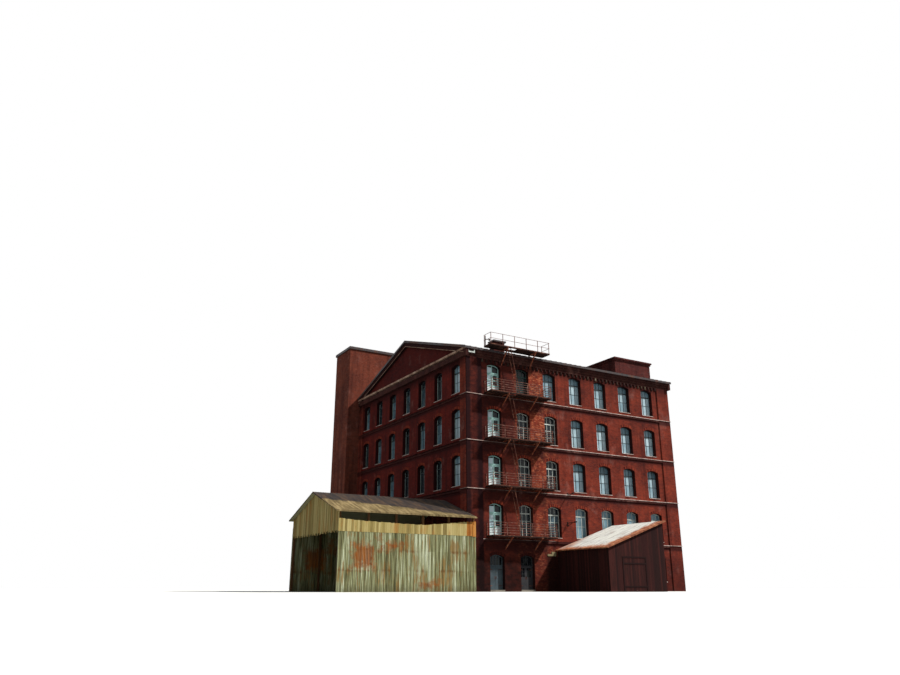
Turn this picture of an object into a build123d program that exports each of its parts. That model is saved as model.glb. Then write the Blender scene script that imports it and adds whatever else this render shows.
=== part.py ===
from build123d import *
import math
import os

# Five-storey brick textile mill with fire-escape balconies, a rear tower and two sheds.
# Millimetres. X runs along the long front from left to right, Y from front to back, Z up.
# The origin is the middle of the mill's footprint, at ground level.

# Mill: walls and storeys
mill_length = 25200.0
mill_depth = 23850.0
wall = 900.0              # thickness of the brick walls
ground_slab = 150.0       # the ground floor stands one step above the ground
first_floor = 4200.0      # top of the floor above the ground storey
storey = 4250.0           # from one floor to the next
upper_storeys = 4
floor_slab = 350.0
eave = 21300.0            # underside of the roof at the wall's outer face
gable_rise = 3790.0       # from there up to the ridge
roof_slab = 200.0
eave_overhang = 450.0
gable_overhang = 420.0
ridge_cap_width = 500.0
ridge_cap_sheet = 20.0

# Mill: openings
opening_width = 1500.0
arch_rise = 220.0         # segmental heads
arch_facets = 4
sill_height = 450.0       # above each upper floor
window_height = 2750.0    # sill to crown
ground_sill = 900.0
door_crown = 3050.0       # also the crown of the ground-storey windows
reveal = 360.0            # from the wall's face to the windows and door frames
sash = 60.0               # thickness of a glazed sash
front_columns = 7
front_margin = 2975.0     # from the corner to the first column's centre
gable_columns = 7
gable_margin = 1990.0
door_columns = (0, 1)     # columns of the front with a ground-level door
sheltered_columns = (2, 3, 4)      # ground-storey columns behind the low shed
shed_side_columns = (0, 1, 2)      # columns of the left gable behind the tall shed

# Mill: brick trim
pilaster_width = 1500.0   # on the long front and back
pilaster_side = 1050.0    # on the gable ends
pilaster_depth = 100.0
course_height = 200.0
course_depth = 90.0
cornice_height = 800.0
cornice_steps = 4         # corbelled courses
cornice_depth = 380.0
gable_cornice_depth = 300.0
raking_height = 450.0
pediment_line = 21000.0   # top of the level cornice across each gable

# Ground-level doors
frame_width = 80.0        # jambs and head
frame_depth = 120.0
transom_low = 2100.0      # underside of the transom bar
transom_bar = 80.0
leaf_thickness = 50.0
leaf_gap = 14.0           # between leaves, to the jambs, the bar and the threshold
panel_recess = 15.0
stile = 110.0
lock_rail = 1150.0        # height of the rail between the leaf's upper and lower panels
hinge_pin_radius = 9.0
hinge_eye_wall = 9.0
hinge_fit = 0.3
hinge_height = 90.0
hinge_stand = 22.0        # hinge axis, out from the leaf's face
strap_length = 320.0
strap_thickness = 6.0
strap_height = 45.0
hinge_inset = 300.0       # from the leaf's ends to its two hinges

# Balconies of the fire escape
balcony_left = 1900.0     # from the mill's left corner
balcony_length = 6800.0
balcony_depth = 1200.0
deck = 120.0
deck_step = 50.0          # deck below the door sills
roof_platform_top = 21750.0
bracket_places = (3850.0, 7050.0)  # from the mill's left corner
bracket_width = 70.0
bracket_drop = 1000.0
bracket_bar = 80.0
roof_bracket_clear = 320.0         # foot of the roof platform's struts, below the cornice
rail_height = 1080.0
rail_count = 5
rail_bar = 30.0
rail_post = 45.0
rail_posts = 6
roof_rail_count = 2
ladder_top = 4250.0       # from the mill's left corner
ladder_run = 900.0
ladder_width = 500.0
ladder_slack = 20.0       # ladder clear of the eaves
ladder_stringer = 60.0
ladder_tread = 15.0
ladder_treads = 14
hatch_before = 130.0      # hatch clear of the ladder
hatch_length = 1000.0
hatch_side = 100.0

# Roof box over the right of the front slope, and the vent stack at its left
box_left = 19100.0        # from the mill's left corner
box_length = 5000.0
box_setback = 1000.0      # from the front wall's face
box_depth = 4300.0
box_wall = 380.0
box_top = 23300.0
box_cap_course = 160.0    # two corbelled courses of brick
box_cap_step = 90.0
stack_left = 3600.0
stack_length = 1200.0
stack_setback = 800.0
stack_depth = 800.0
stack_top = 22750.0
stack_wall = 150.0
stack_cap = 150.0
stack_cap_overhang = 120.0

# Rear tower
tower_left = -1600.0      # from the mill's left corner
tower_right = 4300.0
tower_depth = 4250.0
tower_wall = 510.0
tower_top = 27500.0
tower_coping = 300.0
tower_coping_overhang = 120.0
tower_roof_slab = 250.0
tower_parapet = 600.0     # from the tower's roof up to the coping

# Tall shed at the left gable: corrugated iron on posts
shed_length = 12300.0
shed_forward = 1250.0     # front wall, out from the mill's front
shed_depth = 10450.0
shed_sheet_top = 4450.0
shed_board_top = 5250.0   # open from here up to the roof
shed_eave = 5950.0        # underside of the roof at the walls
shed_rise = 1800.0
shed_ridge_back = 5200.0  # ridge, back from the shed's front wall
shed_sheet = 60.0
shed_roof_sheet = 80.0
shed_overhang = 300.0
shed_post = 160.0
shed_bays = 5

# Low shed against the front
low_left = 9600.0         # from the mill's left corner
low_length = 6400.0
low_depth = 6700.0
low_eave = 3550.0         # underside of the roof at its left wall
low_rise = 2230.0
low_wall = 150.0
low_roof = 80.0
low_overhang = 250.0

# Derived places
x_left, x_right = -mill_length / 2, mill_length / 2
y_front, y_back = -mill_depth / 2, mill_depth / 2
slope = gable_rise / (mill_depth / 2)
apex = eave + gable_rise
roof_vertical = roof_slab * math.hypot(1, slope)
floors = [first_floor + storey * i for i in range(upper_storeys)]
sills = [f + sill_height for f in floors]
front_pitch = (mill_length - 2 * front_margin) / (front_columns - 1)
front_centres = [x_left + front_margin + front_pitch * i for i in range(front_columns)]
gable_pitch = (mill_depth - 2 * gable_margin) / (gable_columns - 1)
gable_centres = [y_front + gable_margin + gable_pitch * i for i in range(gable_columns)]
door_centres = [front_centres[i] for i in door_columns]
spring = door_crown - arch_rise
frame_front = y_front + reveal
deck_tops = [s - deck_step for s in sills]


def box(x0, x1, y0, y1, z0, z1):
    """Box between two corners."""
    return Pos(x0, y0, z0) * Box(x1 - x0, y1 - y0, z1 - z0, align=(Align.MIN,) * 3)


def flat(points):
    """Flat outline from a list of points."""
    return Polygon(*points, align=None)


def along_x(outline, x0, x1):
    """Outline in Y and Z, run along X."""
    return Pos(x0, 0, 0) * extrude(Plane.YZ * outline, amount=x1 - x0, dir=(1, 0, 0))


def along_y(outline, y0, y1):
    """Outline in X and Z, run along Y."""
    return Pos(0, y0, 0) * extrude(Plane.XZ * outline, amount=y1 - y0, dir=(0, 1, 0))


def arched(centre, low, crown, width=opening_width, inset=0.0):
    """Outline of an opening with a segmental head, all round smaller by the inset."""
    half = width / 2
    radius = (half**2 + arch_rise**2) / (2 * arch_rise)
    middle = crown - radius
    reach = half - inset
    angle = math.asin(reach / (radius - inset))
    turns = [angle - 2 * angle * i / arch_facets for i in range(arch_facets + 1)]
    head = [(centre + (radius - inset) * math.sin(t), middle + (radius - inset) * math.cos(t))
            for t in turns]
    return flat([(centre - reach, low + inset), (centre + reach, low + inset)] + head)


def rows(centres, ground, upper):
    """Arched openings: columns open in the ground storey, and columns open in each upper one."""
    found = [arched(centres[i], ground_sill, door_crown) for i in ground]
    for level, columns in zip(sills, upper):
        found += [arched(centres[i], level, level + window_height) for i in columns]
    return found


def join(parts):
    """Fuse a list of solids that meet."""
    whole = parts[0]
    for part in parts[1:]:
        whole = whole + part
    return whole


def together(parts):
    """Group like pieces that don't touch."""
    return Compound(children=[piece for part in parts for piece in part.solids()])


def roof_line(y):
    """Height of the roof's underside."""
    return apex - slope * abs(y)


# Openings of each wall
all_front = list(range(front_columns))
all_gable = list(range(gable_columns))
doors = [arched(c, ground_slab, door_crown) for c in door_centres]
front_open = [i for i in all_front if i not in door_columns + sheltered_columns]
front_windows = rows(front_centres, front_open, [all_front[1:]] * upper_storeys)
balcony_doors = rows(front_centres, [], [all_front[:1]] * upper_storeys)
shed_clear = [i for i in all_gable if i not in shed_side_columns]
left_windows = rows(gable_centres, shed_clear, [shed_clear] + [all_gable] * (upper_storeys - 1))
right_windows = rows(gable_centres, all_gable, [all_gable] * upper_storeys)
behind_tower = [i for i in all_front
                if front_centres[i] - opening_width / 2 > x_left + tower_right]
back_windows = rows(front_centres, behind_tower, [behind_tower] * upper_storeys)
tower_centre = x_left + (tower_left + tower_right) / 2
tower_windows = [arched(tower_centre, s, s + window_height) for s in sills]

# Volumes that other pieces are cut to
sky = along_x(flat([(y_front - 3000, roof_line(y_front - 3000)), (0, apex),
                    (y_back + 3000, roof_line(y_back + 3000)),
                    (y_back + 3000, apex + 9000), (y_front - 3000, apex + 9000)]),
              x_left - 3000, x_right + 3000)
tower_block = box(x_left + tower_left, x_left + tower_right, y_back, y_back + tower_depth,
                  0, tower_top)

nodes = {}

# Floors. The ground floor runs out through the two doorways as their threshold.
inner = (x_left + wall, x_right - wall, y_front + wall, y_back - wall)
nodes["ground_floor"] = join(
    [box(*inner, 0, ground_slab)]
    + [box(c - opening_width / 2, c + opening_width / 2, y_front, inner[2], 0, ground_slab)
       for c in door_centres])
nodes["upper_floors"] = together([box(*inner, f - floor_slab, f) for f in floors])

# Front wall, split beside and over the two doorways
door_edges = [c + side * opening_width / 2 for c in door_centres for side in (-1, 1)]
front_cut = doors + front_windows + balcony_doors


def front_piece(x0, x1, z0, z1):
    outline = flat([(x0, z0), (x1, z0), (x1, z1), (x0, z1)])
    return along_y(outline - front_cut, y_front, y_front + wall) - sky


top = eave + slope * wall
nodes["front_wall_left"] = front_piece(x_left, door_edges[0], 0, spring)
nodes["front_wall_pier"] = front_piece(door_edges[1], door_edges[2], 0, spring)
nodes["front_wall_right"] = front_piece(door_edges[3], x_right, 0, spring)
nodes["front_wall_upper"] = front_piece(x_left, x_right, spring, top)

# Back and gable walls
back = flat([(x_left, 0), (x_right, 0), (x_right, top), (x_left, top)]) - back_windows
nodes["back_wall"] = along_y(back, y_back - wall, y_back) - sky
gable = flat([(inner[2], 0), (inner[3], 0), (inner[3], roof_line(inner[3])), (0, apex),
              (inner[2], roof_line(inner[2]))])
nodes["left_gable_wall"] = along_x(gable - left_windows, x_left, x_left + wall)
nodes["right_gable_wall"] = along_x(gable - right_windows, x_right - wall, x_right)

# Corner pilasters, from the ground to the cornices
cornice_low = eave - cornice_height
mill_block = box(x_left, x_right, y_front, y_back, 0, cornice_low)
corners = []
for sx in (-1, 1):
    for sy in (-1, 1):
        xs = sorted((sx * (mill_length / 2 - pilaster_width), sx * (mill_length / 2 + pilaster_depth)))
        ys = sorted((sy * (mill_depth / 2 - pilaster_side), sy * (mill_depth / 2 + pilaster_depth)))
        corners.append(box(*xs, *ys, 0, cornice_low) - mill_block - tower_block)
nodes["corner_pilasters"] = together(corners)

# String courses between the pilasters, at each floor
courses = []
x_run = (x_left + pilaster_width, x_right - pilaster_width)
y_run = (y_front + pilaster_side, y_back - pilaster_side)
for f in floors:
    z = (f - course_height / 2, f + course_height / 2)
    courses += [box(*x_run, y_front - course_depth, y_front, *z),
                box(*x_run, y_back, y_back + course_depth, *z) - tower_block,
                box(x_left - course_depth, x_left, *y_run, *z),
                box(x_right, x_right + course_depth, *y_run, *z)]

# Corbelled eaves cornices, up to the underside of the roof
step_out = cornice_depth / cornice_steps
step_up = cornice_height / cornice_steps
corbels = [(0, cornice_low)]
for i in range(cornice_steps):
    corbels += [(step_out * (i + 1), cornice_low + step_up * i)]
    if i < cornice_steps - 1:
        corbels += [(step_out * (i + 1), cornice_low + step_up * (i + 1))]
corbels += [(cornice_depth, roof_line(y_back + cornice_depth)), (0, eave)]
eaves = along_x(flat([(y_back + out, z) for out, z in corbels]), x_left, x_right)
nodes["eaves_cornices"] = together([eaves - tower_block, mirror(eaves, about=Plane.XZ)])

# Gable cornices: a level one across the pediment's foot and two raking ones under the roof
reach = mill_depth / 2 + cornice_depth
pediment = flat([(-reach, cornice_low), (reach, cornice_low), (reach, roof_line(reach)), (0, apex),
                 (-reach, roof_line(reach))])
inside_y = (apex - raking_height - pediment_line) / slope
pediment -= flat([(-inside_y, pediment_line), (inside_y, pediment_line), (0, apex - raking_height)])
left_cornice = along_x(pediment, x_left - gable_cornice_depth, x_left)
nodes["gable_cornices"] = together([left_cornice - tower_block, mirror(left_cornice, about=Plane.YZ)])

# Roof slopes and ridge cap
roof_reach = mill_depth / 2 + eave_overhang
ends = (x_left - gable_overhang, x_right + gable_overhang)
front_slope = along_x(flat([(-roof_reach, roof_line(roof_reach)), (0, apex), (0, apex + roof_vertical),
                            (-roof_reach, roof_line(roof_reach) + roof_vertical)]), *ends)
nodes["front_roof_slope"] = front_slope
nodes["back_roof_slope"] = mirror(front_slope, about=Plane.XZ) - tower_block
cap_low = apex + roof_vertical - slope * ridge_cap_width
nodes["ridge_cap"] = along_x(
    flat([(-ridge_cap_width, cap_low), (0, apex + roof_vertical), (ridge_cap_width, cap_low),
          (ridge_cap_width, cap_low + ridge_cap_sheet), (0, apex + roof_vertical + ridge_cap_sheet),
          (-ridge_cap_width, cap_low + ridge_cap_sheet)]), *ends)

# Glazed sashes, set back in each wall
pane_y = (frame_front, frame_front + sash)
nodes["front_windows"] = together([along_y(w, *pane_y) for w in front_windows])
nodes["balcony_doors"] = together([along_y(w, *pane_y) for w in balcony_doors])
nodes["left_windows"] = together(
    [along_x(w, x_left + reveal, x_left + reveal + sash) for w in left_windows])
nodes["right_windows"] = together(
    [along_x(w, x_right - reveal - sash, x_right - reveal) for w in right_windows])
tower_face = y_back + tower_depth
nodes["back_windows"] = together(
    [along_y(w, y_back - reveal - sash, y_back - reveal) for w in back_windows]
    + [along_y(w, tower_face - reveal - sash, tower_face - reveal) for w in tower_windows])

# Ground-level doors: an arched frame with a fixed light over two hinged leaves
frame_y = (frame_front, frame_front + frame_depth)
half_clear = opening_width / 2 - frame_width
light_low = transom_low + transom_bar
leaf_low = ground_slab + leaf_gap
leaf_high = transom_low - leaf_gap
leaf_width = half_clear - 1.5 * leaf_gap
hinge_y = frame_front - hinge_stand
hinge_levels = [leaf_low + hinge_inset, leaf_high - hinge_inset]
lights = []
for number, c in enumerate(door_centres, 1):
    outline = arched(c, ground_slab, door_crown)
    outline -= flat([(c - half_clear, ground_slab), (c + half_clear, ground_slab),
                     (c + half_clear, transom_low), (c - half_clear, transom_low)])
    light = arched(c, light_low - frame_width, door_crown, inset=frame_width)
    frame = along_y(outline - light, *frame_y)
    lights.append(along_y(light, frame_front + 40, frame_front + 40 + sash))
    for side, name in ((-1, "left"), (1, "right")):
        hinge_x = c + side * (half_clear - leaf_gap / 2)
        outer = c + side * (half_clear - leaf_gap)
        inner_edge = c + side * leaf_gap / 2
        x0, x1 = sorted((outer, inner_edge))
        leaf = box(x0, x1, frame_front, frame_front + leaf_thickness, leaf_low, leaf_high)
        for low, high in ((leaf_low + stile, lock_rail - stile / 2),
                          (lock_rail + stile / 2, leaf_high - stile)):
            leaf -= box(x0 + stile, x1 - stile, frame_front - 1, frame_front + panel_recess, low, high)
        nodes[f"door_{number}_{name}_leaf"] = leaf
        # strap hinges: an eye on the leaf turns on a pin that stands out from the jamb
        eye = hinge_pin_radius + hinge_fit + hinge_eye_wall
        straps = []
        for z in hinge_levels:
            ring = Pos(hinge_x, hinge_y, z) * (
                Cylinder(eye, hinge_height / 2, align=(Align.CENTER, Align.CENTER, Align.MIN))
                - Cylinder(hinge_pin_radius + hinge_fit, hinge_height / 2,
                           align=(Align.CENTER, Align.CENTER, Align.MIN)))
            s0, s1 = sorted((hinge_x - side * (hinge_pin_radius + hinge_fit + 2),
                             hinge_x - side * strap_length))
            strap = box(s0, s1, frame_front - strap_thickness, frame_front, z, z + strap_height)
            w0, w1 = sorted((hinge_x - side * (hinge_pin_radius + hinge_fit + 2),
                             hinge_x - side * (eye + 2)))
            web = box(w0, w1, hinge_y, frame_front, z, z + strap_height)
            straps.append(ring + web + strap)
            pin = Pos(hinge_x, hinge_y, z - hinge_height / 2 - hinge_fit) * Cylinder(
                hinge_pin_radius, hinge_height + hinge_fit,
                align=(Align.CENTER, Align.CENTER, Align.MIN))
            p0, p1 = sorted((hinge_x - side * hinge_pin_radius, hinge_x + side * (leaf_gap / 2 + 40)))
            lug = box(p0, p1, hinge_y - hinge_pin_radius, hinge_y + hinge_pin_radius,
                      z - hinge_height / 2 - hinge_fit, z - hinge_fit)
            q0, q1 = sorted((hinge_x + side * (leaf_gap / 2), hinge_x + side * (leaf_gap / 2 + 40)))
            foot = box(q0, q1, hinge_y, frame_front + 1, z - hinge_height / 2 - hinge_fit,
                       z - hinge_fit)
            frame = frame + pin + lug + foot
        nodes[f"door_{number}_{name}_hinges"] = together(straps)
    nodes[f"door_{number}_frame"] = frame
nodes["door_lights"] = together(lights)

# Balconies
b0, b1 = x_left + balcony_left, x_left + balcony_left + balcony_length
y_edge = y_front - balcony_depth
ladder_y = (y_front - eave_overhang - ladder_slack - ladder_width,
            y_front - eave_overhang - ladder_slack)
ladder_x = x_left + ladder_top
hatch = (ladder_x - hatch_before, ladder_x - hatch_before + hatch_length,
         ladder_y[0] - hatch_side, ladder_y[1] + hatch_side)
nodes["second_storey_deck"] = box(b0, b1, y_edge, y_front, deck_tops[0] - deck, deck_tops[0])
hatched = dict(zip(("third_storey_deck", "fourth_storey_deck", "fifth_storey_deck", "roof_platform"),
                   deck_tops[1:] + [roof_platform_top]))
for name, level in hatched.items():
    nodes[name] = box(b0, b1, y_edge, y_front, level - deck, level) - box(*hatch, level - deck, level)


def bracket(x, deck_under, drop):
    """Arm under the deck with a raking strut back to the wall."""
    arm = [(y_edge, deck_under), (y_front, deck_under), (y_front, deck_under - bracket_bar),
           (y_edge, deck_under - bracket_bar)]
    strut = [(y_edge, deck_under - bracket_bar / 2), (y_edge + 2 * bracket_bar, deck_under - bracket_bar / 2),
             (y_front, deck_under - drop + 2 * bracket_bar), (y_front, deck_under - drop)]
    return along_x(flat(arm) + flat(strut), x - bracket_width / 2, x + bracket_width / 2)


places = [x_left + b for b in bracket_places]
brackets = [bracket(x, level - deck, bracket_drop) for level in deck_tops for x in places]
roof_drop = roof_platform_top - deck - cornice_low + roof_bracket_clear
roof_brackets = [bracket(x, roof_platform_top - deck, roof_drop) for x in places]
roof_feet = [box(x - bracket_width / 2, x + bracket_width / 2, y_front - 2 * bracket_width, y_front,
                 eave, roof_platform_top - deck - bracket_bar / 2) for x in places]
roof_brackets = [(b + f) - front_slope for b, f in zip(roof_brackets, roof_feet)]
nodes["balcony_brackets"] = together(brackets + roof_brackets)

# Railings: bars outside, posts inside them
railings = []
post_run = balcony_length - 2 * rail_bar - rail_post
for level in deck_tops + [roof_platform_top]:
    count = roof_rail_count if level == roof_platform_top else rail_count
    bars = [level + rail_height * (i + 1) / count for i in range(count)]
    for i in range(rail_posts):
        x = b0 + rail_bar + post_run * i / (rail_posts - 1)
        railings.append(box(x, x + rail_post, y_edge + rail_bar, y_edge + rail_bar + rail_post,
                            level, level + rail_height))
    for z in bars:
        railings += [box(b0, b1, y_edge, y_edge + rail_bar, z - rail_bar, z),
                     box(b0, b0 + rail_bar, y_edge + rail_bar, y_front, z - rail_bar, z),
                     box(b1 - rail_bar, b1, y_edge + rail_bar, y_front, z - rail_bar, z)]
    for x in (b0 + rail_bar, b1 - rail_bar - rail_post):
        railings.append(box(x, x + rail_post, y_front - rail_post, y_front, level,
                            level + rail_height))
nodes["balcony_railings"] = together(railings)

# Steep ladders from each balcony up through the hatch of the next
ladders = []
for low, high in zip(deck_tops, deck_tops[1:] + [roof_platform_top]):
    rise = high - low
    foot_x = ladder_x + ladder_run
    lean = ladder_run / rise
    side = flat([(foot_x, low), (foot_x + ladder_stringer, low), (ladder_x + ladder_stringer, high),
                 (ladder_x, high)])
    tread_y = (ladder_y[0] + ladder_stringer / 2, ladder_y[1] - ladder_stringer / 2)
    ladders += [along_y(side, ladder_y[0], tread_y[0]), along_y(side, tread_y[1], ladder_y[1])]
    for i in range(1, ladder_treads + 1):
        z = low + rise * i / (ladder_treads + 1)
        x = foot_x - lean * (z - low)
        ladders.append(box(x, x + ladder_stringer, *tread_y, z - ladder_tread, z))
nodes["balcony_ladders"] = together(ladders)

# The courses stop at the low shed and its roof
low_x0, low_x1 = x_left + low_left, x_left + low_left + low_length
low_y0 = y_front - low_depth
low_slope = low_rise / low_length
low_vertical = low_roof * math.hypot(1, low_slope)


def low_line(x):
    """Height of the low roof's underside."""
    return low_eave + low_slope * (x - low_x0)


def low_band(x0, x1, thick):
    return flat([(x0, low_line(x0)), (x1, low_line(x1)), (x1, low_line(x1) + thick),
                 (x0, low_line(x0) + thick)])


low_roof_solid = along_y(low_band(low_x0 - low_overhang, low_x1 + low_overhang, low_vertical),
                         low_y0 - low_overhang, y_front)
low_front = flat([(low_x0, 0), (low_x1, 0), (low_x1, low_line(low_x1)), (low_x0, low_line(low_x0))])
nodes["low_shed_front_wall"] = along_y(low_front, low_y0, low_y0 + low_wall)
low_sides = []
for x in (low_x0, low_x1 - low_wall):
    side = flat([(x, 0), (x + low_wall, 0), (x + low_wall, low_line(x + low_wall)), (x, low_line(x))])
    low_sides.append(along_y(side, low_y0 + low_wall, y_front))
nodes["low_shed_side_walls"] = together(low_sides)
nodes["low_shed_roof"] = low_roof_solid
low_sides_block = join(low_sides)

# Tall shed: corrugated iron below, boards above, on posts, under a two-slope roof
shed_x0, shed_x1 = x_left - shed_length, x_left
shed_y0 = y_front - shed_forward
shed_y1 = shed_y0 + shed_depth
shed_yr = shed_y0 + shed_ridge_back
shed_apex = shed_eave + shed_rise


def shed_line(y):
    """Height of the shed roof's underside."""
    run = shed_yr - shed_y0 if y < shed_yr else shed_y1 - shed_yr
    return shed_apex - shed_rise * abs(y - shed_yr) / run


mill_trim = join(corners) + join([c for c in courses])
shed_reach = (shed_y0 - shed_overhang, shed_y1 + shed_overhang)


def shed_slope(y):
    thick = shed_roof_sheet * math.hypot(1, shed_rise / abs(shed_yr - y))
    outline = flat([(y, shed_line(y)), (shed_yr, shed_apex), (shed_yr, shed_apex + thick),
                    (y, shed_line(y) + thick)])
    return along_x(outline, shed_x0 - shed_overhang, shed_x1) - mill_trim


nodes["shed_front_roof"] = shed_slope(shed_reach[0])
nodes["shed_back_roof"] = shed_slope(shed_reach[1])
shed_walls = {
    "shed_front_wall": [box(shed_x0, shed_x1, shed_y0, shed_y0 + shed_sheet, 0, shed_sheet_top),
                        box(shed_x1 - shed_sheet, shed_x1, shed_y0 + shed_sheet, y_front, 0,
                            shed_sheet_top)],
    "shed_back_wall": [box(shed_x0, shed_x1, shed_y1 - shed_sheet, shed_y1, 0, shed_board_top)],
}
for name, solids in shed_walls.items():
    nodes[name] = join(solids) - mill_trim

nodes["shed_boards"] = together([
    box(shed_x0, shed_x1, shed_y0, shed_y0 + shed_sheet, shed_sheet_top, shed_board_top),
    along_x(flat([(shed_y0 + shed_sheet, shed_sheet_top), (shed_y1 - shed_sheet, shed_sheet_top),
                  (shed_y1 - shed_sheet, shed_line(shed_y1 - shed_sheet)), (shed_yr, shed_apex),
                  (shed_y0 + shed_sheet, shed_line(shed_y0 + shed_sheet))]),
            shed_x0, shed_x0 + shed_sheet)])
bay = (shed_length - 2 * shed_sheet - shed_post) / shed_bays
post_xs = [shed_x0 + shed_sheet + bay * i for i in range(shed_bays + 1)]
shed_posts = []
for y in (shed_y0 + shed_sheet, shed_y1 - shed_sheet - shed_post):
    outline = flat([(y, 0), (y + shed_post, 0), (y + shed_post, shed_line(y + shed_post)),
                    (y, shed_line(y))])
    shed_posts += [along_x(outline, x, x + shed_post) - mill_trim for x in post_xs]
nodes["shed_posts"] = together(shed_posts)

cut_by = low_roof_solid + low_sides_block
nodes["string_courses"] = together([c - cut_by for c in courses])

# Roof box and vent stack, their feet cut to the roof's slope
under_roof = along_x(flat([(-roof_reach, 0), (0, 0), (0, apex + roof_vertical),
                           (-roof_reach, roof_line(roof_reach) + roof_vertical)]), *ends)
bx = (x_left + box_left, x_left + box_left + box_length)
by = (y_front + box_setback, y_front + box_setback + box_depth)
tube = box(*bx, *by, eave, box_top) - box(
    bx[0] + box_wall, bx[1] - box_wall, by[0] + box_wall, by[1] - box_wall, eave, box_top)
nodes["roof_box_walls"] = tube - under_roof
box_cap = [box(bx[0] - out, bx[1] + out, by[0] - out, by[1] + out, z, z + box_cap_course)
           for out, z in ((box_cap_step, box_top), (2 * box_cap_step, box_top + box_cap_course))]
nodes["roof_box_cap"] = join(box_cap) - under_roof
sx = (x_left + stack_left, x_left + stack_left + stack_length)
sy = (y_front + stack_setback, y_front + stack_setback + stack_depth)
stack = box(*sx, *sy, eave, stack_top) - box(
    sx[0] + stack_wall, sx[1] - stack_wall, sy[0] + stack_wall, sy[1] - stack_wall, eave, stack_top)
nodes["vent_stack"] = stack - under_roof
nodes["vent_stack_cap"] = box(sx[0] - stack_cap_overhang, sx[1] + stack_cap_overhang,
                              sy[0] - stack_cap_overhang, sy[1] + stack_cap_overhang,
                              stack_top, stack_top + stack_cap)

# Rear tower: four walls with a coping, and a roof behind the parapet
tx = (x_left + tower_left, x_left + tower_right)
ty = (y_back, y_back + tower_depth)
tower = tower_block - box(tx[0] + tower_wall, tx[1] - tower_wall, ty[0] + tower_wall,
                          ty[1] - tower_wall, 0, tower_top)
for w in tower_windows:
    tower -= along_y(w, ty[1] - tower_wall, ty[1])
nodes["tower_walls"] = tower
o = tower_coping_overhang
nodes["tower_coping"] = box(tx[0] - o, tx[1] + o, ty[0] - o, ty[1] + o, tower_top,
                            tower_top + tower_coping) - box(
    tx[0] + tower_wall, tx[1] - tower_wall, ty[0] + tower_wall, ty[1] - tower_wall,
    tower_top, tower_top + tower_coping)
roof_level = tower_top + tower_coping - tower_parapet
nodes["tower_roof"] = box(tx[0] + tower_wall, tx[1] - tower_wall, ty[0] + tower_wall,
                          ty[1] - tower_wall, roof_level - tower_roof_slab, roof_level)

os.makedirs("parts", exist_ok=True)
for name, shape in nodes.items():
    export_step(shape, f"parts/{name}.step")
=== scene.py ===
import bpy
import math
import random
from collections import namedtuple
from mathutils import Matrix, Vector


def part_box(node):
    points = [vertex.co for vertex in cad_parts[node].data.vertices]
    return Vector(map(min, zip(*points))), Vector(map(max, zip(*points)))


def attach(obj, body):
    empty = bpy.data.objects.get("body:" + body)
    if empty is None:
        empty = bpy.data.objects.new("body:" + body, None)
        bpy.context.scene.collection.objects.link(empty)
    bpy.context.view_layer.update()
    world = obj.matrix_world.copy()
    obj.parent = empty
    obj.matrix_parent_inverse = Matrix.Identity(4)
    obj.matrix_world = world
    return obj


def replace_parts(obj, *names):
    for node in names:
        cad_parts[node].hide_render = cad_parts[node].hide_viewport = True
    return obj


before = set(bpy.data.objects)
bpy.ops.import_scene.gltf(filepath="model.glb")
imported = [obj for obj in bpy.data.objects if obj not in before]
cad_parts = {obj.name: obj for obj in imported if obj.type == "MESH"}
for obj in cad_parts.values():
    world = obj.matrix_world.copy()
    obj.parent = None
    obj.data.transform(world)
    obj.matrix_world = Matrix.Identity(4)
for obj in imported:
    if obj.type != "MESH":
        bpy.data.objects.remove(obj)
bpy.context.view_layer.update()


class Value:
    """One output of a node. Plain arithmetic on it adds the nodes for the sum."""

    def __init__(self, graph, socket):
        self.graph, self.socket = graph, socket

    def __add__(self, other):
        return self.graph.calc("ADD", self, other)

    def __sub__(self, other):
        return self.graph.calc("SUBTRACT", self, other)

    def __rsub__(self, other):
        return self.graph.calc("SUBTRACT", other, self)

    def __mul__(self, other):
        return self.graph.calc("MULTIPLY", self, other)

    def __mod__(self, other):
        return self.graph.calc("MODULO", self, other)

    def __abs__(self):
        return self.graph.calc("ABSOLUTE", self)

    def __lt__(self, other):
        return self.graph.calc("LESS_THAN", self, other)

    def __gt__(self, other):
        return self.graph.calc("GREATER_THAN", self, other)

    def between(self, low, high, start=0.0, end=1.0):
        """The value carried from low..high to start..end, and held there beyond them."""
        return self.graph.add("ShaderNodeMapRange", {0: self, 1: low, 2: high, 3: start, 4: end})


def largest(first, *others):
    for other in others:
        first = first.graph.calc("MAXIMUM", first, other)
    return first


class Graph:
    """A group of nodes, with short calls for the ones that its users share."""

    def __init__(self, group):
        self.group = group

    def node(self, kind, inputs=None, **settings):
        """A new node with its settings, and its inputs set to numbers or joined to values."""
        made = self.group.nodes.new(kind)
        for key, value in settings.items():
            setattr(made, key, value)
        for key, value in (inputs or {}).items():
            if isinstance(value, Value):
                self.group.links.new(value.socket, made.inputs[key])
            else:
                made.inputs[key].default_value = value
        return made

    def add(self, kind, inputs=None, output=0, **settings):
        return Value(self, self.node(kind, inputs, **settings).outputs[output])

    def calc(self, operation, first, second=0.0, clamp=False):
        return self.add("ShaderNodeMath", {0: first, 1: second}, operation=operation, use_clamp=clamp)

    def vector(self, x=0.0, y=0.0, z=0.0):
        return self.add("ShaderNodeCombineXYZ", {0: x, 1: y, 2: z})


def shade(colour):
    """A colour for a socket: a value or four numbers as they are, or three from 0 to 255 as they
    look on a screen."""
    if isinstance(colour, Value) or len(colour) == 4:
        return colour
    parts = [part / 255 for part in colour]
    return tuple(p / 12.92 if p <= 0.04045 else ((p + 0.055) / 1.055) ** 2.4 for p in parts) + (1,)


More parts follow.
